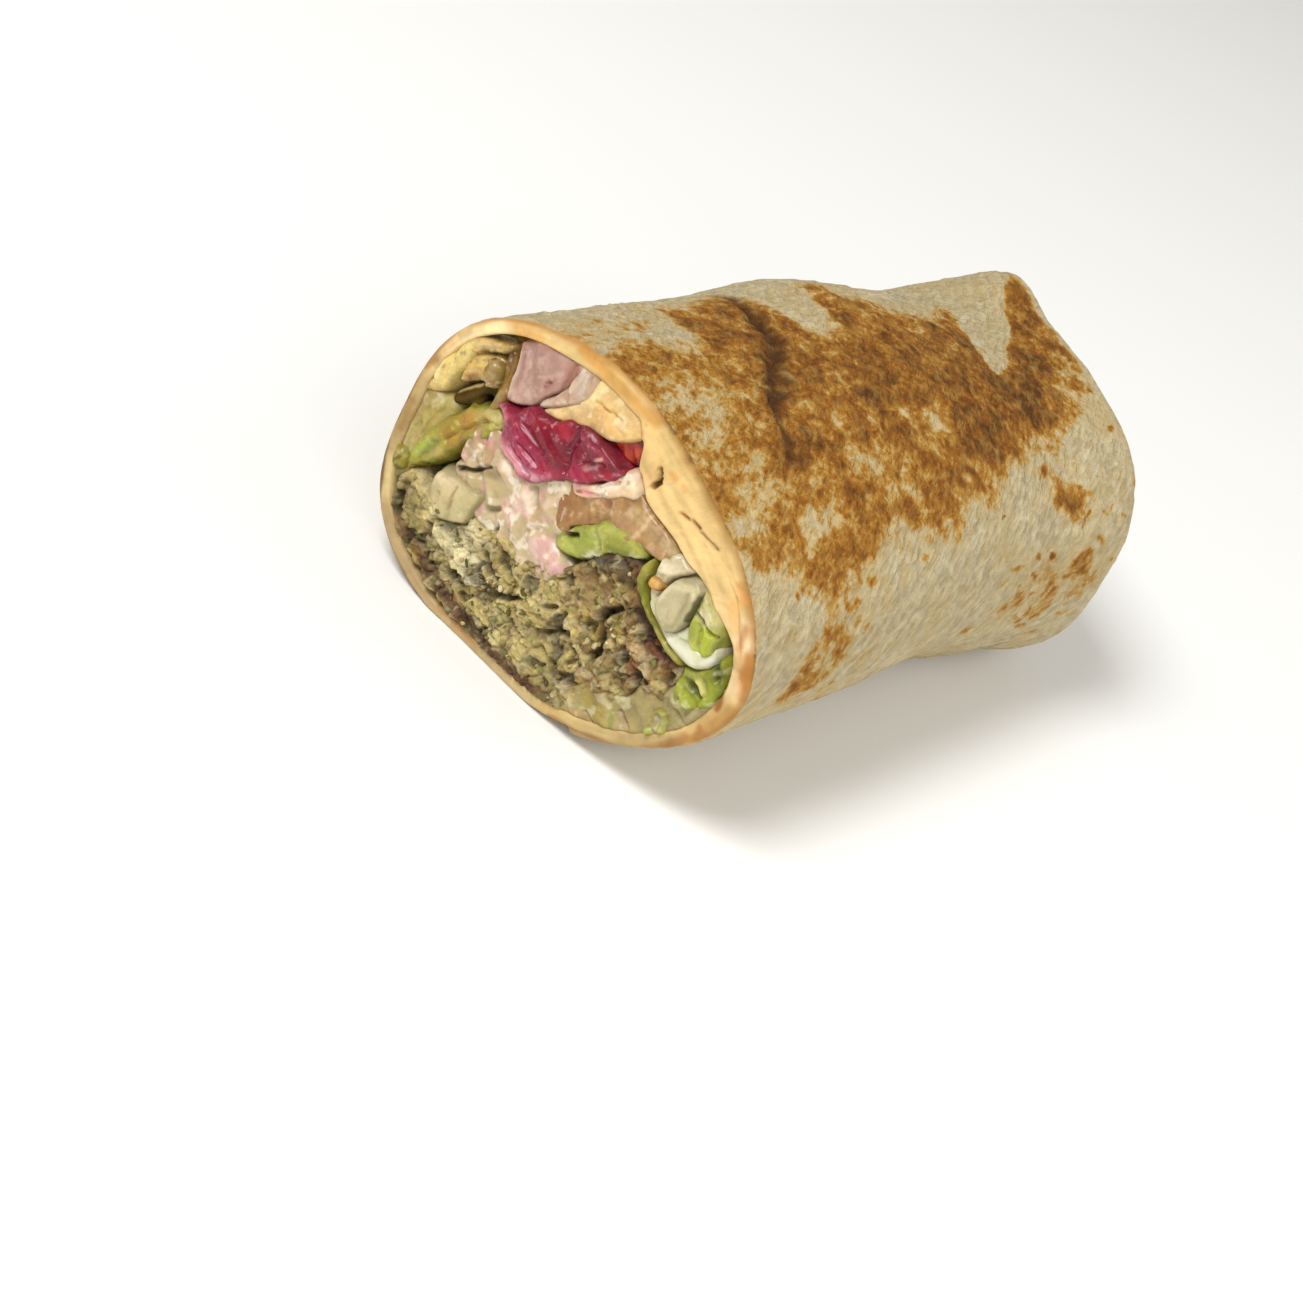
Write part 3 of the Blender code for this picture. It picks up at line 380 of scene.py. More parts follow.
    # the crease mask mixes in the near-black brown: painted shade in the creases
    scorched = addNode(tree, "ShaderNodeMix", {"data_type": "RGBA", "in:7": (*linear(bread["char"]), 1)}, {"0": char, "6": floury.outputs[2]})
    cut = addNode(tree, "ShaderNodeMix", {"data_type": "RGBA"}, {"0": rim, "6": scorched.outputs[2], "7": tint})
    tree.links.new(cut.outputs[2], shader.inputs["Base Color"])
    dull = addNode(tree, "ShaderNodeMapRange", {"in:From Min": 0.0, "in:From Max": 1.0, "in:To Min": 0.74, "in:To Max": 0.52}, {"Value": rim})
    tree.links.new(dull.outputs[0], shader.inputs["Roughness"])
    fine = addNode(tree, "ShaderNodeMath", {"operation": "MULTIPLY_ADD", "in:1": 0.3}, {"0": speckle, "2": streak.outputs[0]})
    onCut = addNode(tree, "ShaderNodeMapRange", {"in:To Min": 1.0, "in:To Max": 0.25}, {"Value": rim})
    bump = addNode(tree, "ShaderNodeBump", {"in:Distance": 1.55 * mm}, {"Height": fine.outputs[0], "Strength": onCut.outputs[0]})
    tree.links.new(bump.outputs[0], shader.inputs["Normal"])
    shader.inputs["IOR"].default_value = 1.42
    shader.inputs["Specular IOR Level"].default_value = 0.22
    shader.inputs["Subsurface Weight"].default_value = 0.08
    shader.inputs["Subsurface Radius"].default_value = (1.0, 0.55, 0.25)
    shader.inputs["Subsurface Scale"].default_value = 0.8 * mm
    return material


def foodMaterial(name, look):
    # Colour comes from the piece's own painted tint, broken up by a pattern at the real size of its grain.
    material, tree, shader = newMaterial(name)
    surface = addNode(tree, "ShaderNodeTexCoord").outputs["Object"]
    tint = addNode(tree, "ShaderNodeAttribute", {"attribute_name": "tint"}).outputs["Color"]
    coarse = addNode(tree, "ShaderNodeTexNoise", {"in:Scale": 1 / (look["patch"] * mm), "in:Detail": 3.0, "in:Roughness": 0.6, "in:Distortion": 0.5}, {"Vector": surface})
    fine = addNode(tree, "ShaderNodeTexNoise", {"in:Scale": 1 / (look["grain"] * mm), "in:Detail": 2.0, "in:Roughness": 0.6}, {"Vector": surface})
    mixed = addNode(tree, "ShaderNodeMath", {"operation": "MULTIPLY_ADD", "in:1": 0.6}, {"0": fine.outputs["Fac"], "2": coarse.outputs["Fac"]})
    value = addNode(tree, "ShaderNodeMapRange", {"in:From Min": 0.55, "in:From Max": 1.05, "in:To Min": 1 - look["vary"], "in:To Max": 1 + look["vary"] * 0.7}, {"Value": mixed.outputs[0]})
    hue = addNode(tree, "ShaderNodeMapRange", {"in:From Min": 0.3, "in:From Max": 0.7, "in:To Min": 0.5 - look.get("hue", 0.008), "in:To Max": 0.5 + look.get("hue", 0.008)}, {"Value": coarse.outputs["Fac"]})
    shade = addNode(tree, "ShaderNodeHueSaturation", {}, {"Color": tint, "Value": value.outputs[0], "Hue": hue.outputs[0]})
    tree.links.new(shade.outputs[0], shader.inputs["Base Color"])
    wet = addNode(tree, "ShaderNodeMapRange", {"in:From Min": 0.35, "in:From Max": 0.65, "in:To Min": look["rough"] - look["wetVary"], "in:To Max": look["rough"] + look["wetVary"]}, {"Value": coarse.outputs["Fac"]})
    tree.links.new(wet.outputs[0], shader.inputs["Roughness"])
    bump = addNode(tree, "ShaderNodeBump", {"in:Strength": look["bump"], "in:Distance": look["grain"] * 0.4 * mm}, {"Height": fine.outputs["Fac"]})
    tree.links.new(bump.outputs[0], shader.inputs["Normal"])
    shader.inputs["IOR"].default_value = look["ior"]
    shader.inputs["Specular IOR Level"].default_value = look.get("specular", 0.5)
    shader.inputs["Subsurface Weight"].default_value = look["through"]
    shader.inputs["Subsurface Radius"].default_value = look["throughColour"]
    shader.inputs["Subsurface Scale"].default_value = look["throughDepth"] * mm
    shader.inputs["Coat Weight"].default_value = look.get("coat", 0.0)
    shader.inputs["Coat Roughness"].default_value = 0.18
    return material


looks = {
    # the edge darkening set first in some looks is painted shade along the partings between pieces
    # fried chickpea crumb: matt, dry grains of many sizes with green herb between, oily in places
    "falafel": ("fried chickpea falafel crumb", {"parting": 0.3, "patch": 2.6, "grain": 0.42, "vary": 0.34, "rough": 0.66, "wetVary": 0.16, "bump": 1.0, "ior": 1.45, "through": 0.05, "throughColour": (1.0, 0.7, 0.35), "throughDepth": 0.5, "hue": 0.012}),
    # mashed chickpea paste, spread: soft satin with small lumps
    "hummus": ("mashed chickpea hummus", {"parting": 0.2, "patch": 3.0, "grain": 0.6, "vary": 0.16, "rough": 0.50, "wetVary": 0.12, "bump": 0.5, "ior": 1.42, "through": 0.15, "throughColour": (1.0, 0.8, 0.5), "throughDepth": 1.0, "hue": 0.010}),
    # turnip pickled in beetroot brine and cut: wet, deep crimson flesh that glows at thin edges
    "turnip": ("beetroot pickled turnip", {"patch": 2.4, "grain": 0.55, "vary": 0.24, "rough": 0.34, "wetVary": 0.12, "bump": 0.35, "ior": 1.37, "through": 0.22, "throughColour": (1.0, 0.15, 0.3), "throughDepth": 1.6, "coat": 0.22}),
    # raw red onion layer, sliced: thin, wet and half see-through, with fine lengthwise veins
    "onion": ("sliced raw red onion", {"parting": 0.3, "patch": 2.2, "grain": 0.5, "vary": 0.12, "rough": 0.30, "wetVary": 0.10, "bump": 0.2, "ior": 1.37, "through": 0.25, "throughColour": (1.0, 0.6, 0.6), "throughDepth": 2.0, "coat": 0.3}),
    # cut tomato flesh: wet, soft, pinkish brown where sauce has stained it
    "tomato": ("cut ripe tomato flesh", {"parting": 0.2, "patch": 2.2, "grain": 0.6, "vary": 0.14, "rough": 0.34, "wetVary": 0.12, "bump": 0.35, "ior": 1.38, "through": 0.2, "throughColour": (1.0, 0.4, 0.2), "throughDepth": 1.5, "coat": 0.2}),
    # fresh lettuce leaf, torn: satin with a waxy shine on its folds and light coming through
    "lettuce": ("torn fresh lettuce leaf", {"parting": 0.2, "patch": 2.0, "grain": 0.45, "vary": 0.20, "rough": 0.36, "wetVary": 0.10, "bump": 0.35, "ior": 1.40, "through": 0.2, "throughColour": (0.6, 1.0, 0.2), "throughDepth": 1.2, "hue": 0.010}),
    # sesame and garlic sauce, spooned: smooth and glossy, almost white
    "sauce": ("spooned garlic tahini sauce", {"parting": 0.15, "patch": 2.2, "grain": 0.8, "vary": 0.09, "rough": 0.32, "wetVary": 0.08, "bump": 0.15, "ior": 1.42, "through": 0.3, "throughColour": (1.0, 0.85, 0.7), "throughDepth": 1.6, "coat": 0.25}),
    # raw cucumber flesh, diced: wet, pale and finely grained
    "cucumber": ("diced raw cucumber flesh", {"patch": 2.0, "grain": 0.5, "vary": 0.10, "rough": 0.36, "wetVary": 0.10, "bump": 0.3, "ior": 1.37, "through": 0.2, "throughColour": (0.9, 1.0, 0.6), "throughDepth": 1.4, "coat": 0.15}),
    # gherkin and pepper pickled in vinegar, sliced: translucent, oily and glossy
    "pickle": ("vinegar pickled gherkin and pepper", {"patch": 1.8, "grain": 0.5, "vary": 0.20, "rough": 0.28, "wetVary": 0.10, "bump": 0.3, "ior": 1.38, "through": 0.2, "throughColour": (1.0, 0.8, 0.3), "throughDepth": 1.4, "coat": 0.35, "hue": 0.012}),
    # skin of a pickled gherkin, limp and drained: dark olive, barely shiny
    "pickleSkin": ("drained pickled gherkin skin", {"parting": 0.2, "patch": 1.8, "grain": 0.5, "vary": 0.20, "rough": 0.5, "wetVary": 0.10, "bump": 0.3, "ior": 1.38, "specular": 0.15, "through": 0.1, "throughColour": (1.0, 0.8, 0.3), "throughDepth": 1.0}),
    # grated raw carrot, stained with sauce: dull orange with a fibrous cut
    "carrot": ("grated raw carrot", {"patch": 1.6, "grain": 0.4, "vary": 0.14, "rough": 0.40, "wetVary": 0.10, "bump": 0.4, "ior": 1.38, "through": 0.15, "throughColour": (1.0, 0.5, 0.2), "throughDepth": 1.0}),
}
materials = {key: foodMaterial(name, look) for key, (name, look) in looks.items()}
materials["bread"] = flatbreadMaterial()
print("materials made:", len(materials))


# Bread

def insidePolygon(u, v, corners):
    inside = np.zeros(len(u), bool)
    for (u1, v1), (u2, v2) in zip(corners, corners[1:] + corners[:1]):
        crosses = ((v1 > v) != (v2 > v)) & (u < u1 + (v - v1) * (u2 - u1) / (v2 - v1 if v2 != v1 else 1e-9))
        inside ^= crosses
    return inside


def polylineDistance(u, v, corners, aspect):
    # distance from (u, v) to a closed polygon, with v scaled by aspect
    best = np.full(len(u), 1e9)
    for (u1, v1), (u2, v2) in zip(corners, corners[1:] + corners[:1]):
        du, dv = u2 - u1, (v2 - v1) * aspect
        t = np.clip(((u - u1) * du + (v - v1) * aspect * dv) / max(du * du + dv * dv, 1e-9), 0, 1)
        best = np.minimum(best, np.hypot(u - u1 - t * du, (v - v1) * aspect - t * dv))
    return best


def breadHeat(station, angle, points):
    # how browned the outside is, 0 to 1, and how dark its creases are painted (painted shade)
    percent = station * 100 + 1.3 * noise(points, 5.0, 21) + 0.7 * noise(points, 1.8, 22)
    turn = angle + 3.4 * noise(points, 5.5, 23) + 1.6 * noise(points, 2.0, 24)
    upper = np.interp(percent, *zip(*bread["upperEdge"]))
    lower = np.interp(percent, *zip(*bread["lowerEdge"]))
    heat = 0.57 * smooth((turn - upper) / 19 + 0.4) * smooth((lower - turn) / 17 + 0.44)
    within = heat / 0.56
    for place, middle, along, around, more in bread["patches"]:
        near = np.exp(-(((percent - place) / along) ** 2 + (turnBetween(turn, middle) / around) ** 2) ** 1.3)
        heat = heat + more * near * within
    for place, middle, along, around, strength in bread["spots"] + bread["underPatches"]:
        near = np.exp(-(((percent - place) / along) ** 2 + (turnBetween(turn, middle) / around) ** 2) ** 1.4)
        heat = np.maximum(heat, strength * near)
    corner = bread["cleanCorner"]
    u, v = station * 100 + 0.5 * noise(points, 2.5, 25), angle + 1.2 * noise(points, 2.5, 26)
    distance = polylineDistance(u, v, corner, 0.5)
    clean = np.where(insidePolygon(u, v, corner), smooth(distance / 1.4 + 0.35), smooth(0.35 - distance / 1.4))
    heat = heat * (1 - 0.93 * clean)
    char = np.zeros(len(station))
    crease = bread["crease"]
    for (s1, a1, w1, k1), (s2, a2, w2, k2) in zip(crease[:-1], crease[1:]):
        du, dv = s2 - s1, (a2 - a1) * 0.5
        t = np.clip(((percent - s1) * du + (turn - a1) * 0.5 * dv) / (du * du + dv * dv), 0, 1)
        away = np.hypot(percent - s1 - t * du, (turn - a1) * 0.5 - t * dv)
        char = np.maximum(char, (k1 + (k2 - k1) * t) * np.exp(-(away / (w1 + (w2 - w1) * t)) ** 2))
    return np.clip(heat, 0, 1), char


def breadAngles():
    # facets round the bread, closer together on top, at the rim's slit and at the seam
    fine = np.linspace(0, 360, 3601)[:-1]
    density = bread["bottomDensity"] + (bread["topDensity"] - bread["bottomDensity"]) * (smooth((fine - 15) / 15) * smooth((215 - fine) / 15))
    density += 1.6 * np.exp(-((fine - 118) / 5) ** 2) + 0.5 * np.exp(-((fine - 140) / 6) ** 2)
    radius = rollRadius(0.0, fine)
    steps = density * np.hypot(radius, np.gradient(radius, np.radians(fine)))
    total = np.concatenate([[0], np.cumsum(steps)])
    wanted = np.linspace(0, total[-1], bread["sides"] + 1)[:-1]
    angles = np.interp(wanted, total, np.append(fine, 360.0))
    seam = roll["seamAngle"]
    i = int(np.argmin(np.abs(angles - seam)))
    angles[i] = seam - 0.1
    angles[i + 1] = seam + 0.35
    return angles


def flapHinge(y, z):
    # how far below the edge of the end's top flap a point lies
    return bread["flap"]["hinge"] - bread["flap"]["lean"] * y - z + 0.8 * np.sin(y / 5.0)


def flapHeight(y, z):
    flap = bread["flap"]
    below = flapHinge(y, z)
    over = flap["tuck"] - flap["tuckLean"] * np.abs(y + 4.0) - z
    top = smooth(0.5 - below / flap["soft"])
    tucks = smooth(0.5 - over / flap["soft"])
    lip = 0.6 * np.exp(-((below + 1.6) / 1.6) ** 2) * smooth((30 - np.abs(y)) / 6)
    groove = -0.8 * np.exp(-((below - 1.4) / 0.9) ** 2) - 0.35 * np.exp(-((over - 1.3) / 0.9) ** 2) * (1 - top)
    return flap["rise"] * (np.maximum(top, 0.55 * tucks) - 1.0) + lip + groove


def makeBread():
    angles = breadAngles()
    sides = len(angles)
    cosine, sine = np.cos(np.radians(angles)), np.sin(np.radians(angles))
    rows, kinds, stationRows = [], [], []

    def addRow(x, radius, kind, station):
        rows.append(np.stack([x, radius * cosine, radius * sine], axis=1))
        kinds.append(kind)
        stationRows.append(np.full(sides, station))

    for station in (1.0, 0.82, 0.58, 0.3, 0.12, 0.04, 0.012):       # the hollow, from the fold to the cut
        radius = hollowRadius(station, angles)
        x = placedX(station, radius * cosine, radius * sine)
        addRow(x - (0.05 if station == 1.0 else 0.0), radius, 0, station)
    thickness = breadThickness(angles)
    for row in range(bread["rimRows"] + 1):                          # across the cut rim
        share = row / bread["rimRows"]
        share = 0.5 - 0.5 * math.cos(math.pi * share) if share in (0, 1) else 0.03 + 0.94 * share
        inset = thickness * (1 - share)
        radius = rollRadius(0.0, angles) - inset
        y, z = radius * cosine, radius * sine
        edge = np.minimum(inset, thickness - inset)
        round_ = bread["rimRound"] * np.clip(thickness / 3, 0.7, 1.2)
        back = round_ * (1 - np.sqrt(np.clip(1 - (1 - np.clip(edge / round_, 0, 1)) ** 2, 0, 1)))
        spot = np.stack([np.full(sides, 3.0), y, z], axis=1)
        relief = 0.16 * layeredNoise(spot, 3.2, 31) + 0.07 * noise(spot, 0.9, 35)
        relief += 0.12 * np.sin(inset * 2.4 + 1.2 * noise(spot, 6.0, 37)) * smooth((thickness - 5) / 3)   # the layers of the roll
        for y1, z1, y2, z2, half, depth in bread["rimSlits"]:
            relief -= depth * strokeShare(y / drawnScale, z / drawnScale, (y1, z1, y2, z2, half))
        addRow(cutX(y, z) + back - relief * smooth(edge / 0.35), radius, 1, 0.0)
    count = bread["rows"]
    for row in range(1, count + 1):                                  # along the outside
        station = (row / count) ** 1.0
        radius = outsideRadius(station, angles)
        x = placedX(station, radius * cosine, radius * sine)
        addRow(x + (bread["rimRound"] * 0.3 if row == 1 else 0.0), radius, 2, station)
    for row in range(1, bread["endRows"]):                           # over the folded end
        turn = math.radians(90 * row / bread["endRows"])
        size, out = math.cos(turn) ** (2 / 3), math.sin(turn) ** (2 / 3)
        radius = outsideRadius(1.0, angles) * size
        y, z = radius * cosine, radius * sine
        x = placedX(1.0, y, z) + roll["foldDepth"] * out + smooth(2 * out - 1) * flapHeight(y, z)
        addRow(x, radius, 3, 1.0 + 0.08 * out)
    points = np.concatenate(rows)
    kind = np.repeat(kinds, sides)
    station = np.concatenate(stationRows)
    angle = np.tile(angles, len(rows))
    points = np.concatenate([points, [[placedX(1.0, 0, 0) - 0.05, 0, 0], [roll["length"] + float(flapHeight(np.zeros(1), np.zeros(1))[0]), 0, 0]]])
    kind, station, angle = np.append(kind, [0, 3]), np.append(station, [1.0, 1.08]), np.append(angle, [0.0, 0.0])

    # relief of the outside: soft swellings, wrinkles in two slants, toasted blisters and the crease
    outward = np.stack([np.zeros(len(points)), points[:, 1], points[:, 2]], axis=1)
    length = np.maximum(np.linalg.norm(outward, axis=1), 1e-6)
    arc = np.radians((angle - roll["seamAngle"]) % 360) * 30.0      # the pattern's own parting lies at the seam
    wrapped = np.stack([points[:, 0], arc, np.zeros(len(points))], axis=1)
    relief = bread["swellHeight"] * layeredNoise(points, 13.0, 41, 2)
    slants = []
    fold = np.where(kind == 3, smooth((station - 1.0) / 0.03), 0.0)
    endwise = np.stack([points[:, 1], points[:, 2], np.zeros(len(points))], axis=1)
    for slant, seed in ((-34, 51), (8, 55)):
        c, s = math.cos(math.radians(slant)), math.sin(math.radians(slant))
        bend, ridges = 1.1 * noise(points, 4.0, seed + 2), []
        for place in (wrapped, endwise):
            along, across = place[:, 0] * c + place[:, 1] * s, -place[:, 0] * s + place[:, 1] * c + bend
            stretched = np.stack([along / bread["wrinkleLong"], across / bread["wrinkleWide"], np.full(len(points), seed * 0.37)], axis=1)
            ridges.append(1 - 2 * np.abs(noise(stretched, 1.0, seed)))
        slants.append(ridges[0] * (1 - fold) + ridges[1] * fold)
    share = smooth(0.5 + 0.9 * noise(points, 16.0, 61))
    relief += bread["wrinkleHeight"] * (slants[0] * share + slants[1] * (1 - share)) * (0.55 + 0.45 * noise(points, 9.0, 63))
    blister = noise(points, 2.6, 65)
    relief += bread["blisterHeight"] * smooth(blister * 1.8 - 0.2)
    heat, char = breadHeat(station, angle, points)
    heat = heat * (1 - fold)
    hinge = flapHinge(points[:, 1], points[:, 2])
    for y1, z1, wide, high, strength in bread["endPatches"]:
        near = np.hypot((points[:, 1] - y1 + 1.5 * noise(points, 4.0, 66)) / wide, (points[:, 2] - z1 + 1.5 * noise(points, 4.0, 67)) / high)
        heat = np.maximum(heat, strength * np.exp(-near ** 2.6) * (kind == 3))
    # painted shade at the end's top flap: a browner band along its lip and a dark line just below its edge
    heat = np.maximum(heat, 0.3 * np.exp(-((hinge + 1.0) / 1.4) ** 2) * fold)
    char = np.maximum(char * (1 - fold), 0.55 * np.exp(-((hinge - 0.9) / 0.55) ** 2) * fold * smooth(0.6 + 0.6 * noise(points, 6.0, 68)))
    relief -= 0.8 * np.minimum(char, 1) ** 4 * smooth((118 - angle) / 6)
    relief *= np.where(kind == 2, 1.0, np.where(kind == 3, 0.8, 0.0))
    relief *= smooth(station * 60) * np.where(kind == 3, smooth(length / 6), 1.0)
    resting = (points[:, 2] < -roll["restDepth"] + 0.6) & (kind >= 2)
    relief = np.where(resting, np.minimum(relief, 0.0) - 0.02, relief)
    points = points + outward / length[:, None] * relief[:, None] * np.where(kind == 3, 0.3, 1.0)[:, None]
    points[:, 0] += np.where(kind == 3, relief, 0.0)
    points[:, 2] = np.maximum(points[:, 2], -roll["restDepth"])

    y, z = points[:, 1] / drawnScale, points[:, 2] / drawnScale
    warpY, warpZ = y + 0.35 * noise(points, 1.6, 71), z + 0.35 * noise(points, 1.6, 72)
    tint = np.tile(linear(bread["cutCream"]), (len(points), 1))
    for stroke in bread["rimStrokes"]:
        share = strokeShare(warpY, warpZ, stroke)[:, None] * stroke[6]
        tint = tint + (linear(stroke[5]) - tint) * share
    inset = np.maximum(rollRadius(0.0, angle) - length, 0.0)
    outer = 0.8 * np.exp(-(inset / (0.55 + 0.4 * noise(points, 2.8, 76))) ** 2) * smooth(0.9 + 0.5 * noise(points, 6.0, 77)) * (0.12 + 0.88 * smooth((z + 12) / 14))
    tint = tint + (linear(bread["cutEdge"]) - tint) * outer[:, None]
    tint = tint * (1 + 0.11 * layeredNoise(points, 2.2, 78) + 0.08 * noise(np.stack([np.zeros(len(points)), angle * 0.14, inset / 0.45], axis=1), 1.0, 79) + 0.08 * noise(points, 0.8, 80))[:, None]
    rim = np.where(kind <= 1, 1.0, smooth(1.1 - (station * 100 + 0.5 * noise(points, 3.0, 73)) / 1.2))
    faces = [f for i in range(len(rows) - 1) for f in tubeFaces(i * sides, (i + 1) * sides, sides)]
    start, tip, last = len(points) - 2, len(points) - 1, (len(rows) - 1) * sides
    faces += [(start, (i + 1) % sides, i) for i in range(sides)]
    faces += [(tip, last + i, last + (i + 1) % sides) for i in range(sides)]
    wrapped = np.stack([points[:, 0], arc, length * 0.5], axis=1)
    endwise = np.stack([points[:, 1], points[:, 2], points[:, 0] * 0.5], axis=1)
    return makePiece("flatbread", points, faces, materials["bread"], ["bread_wrap"],
                     {"browned": heat, "char": np.clip(char * (0.9 + 0.5 * noise(points, 1.6, 75)), 0, 0.92), "rim": rim, "tint": tint, "wrapped": wrapped, "endwise": endwise, "fold": fold})


makeBread()
print("flatbread made")


# Fillings. Each one is a strand from the cut to the fold, with a modelled front. Outlines are y, z on the
# bigger cut, anticlockwise or clockwise alike. front: how far it stands out of the cut (+) or lies back (-);
# round: width of its rounded edge; drop: how far that edge falls away.

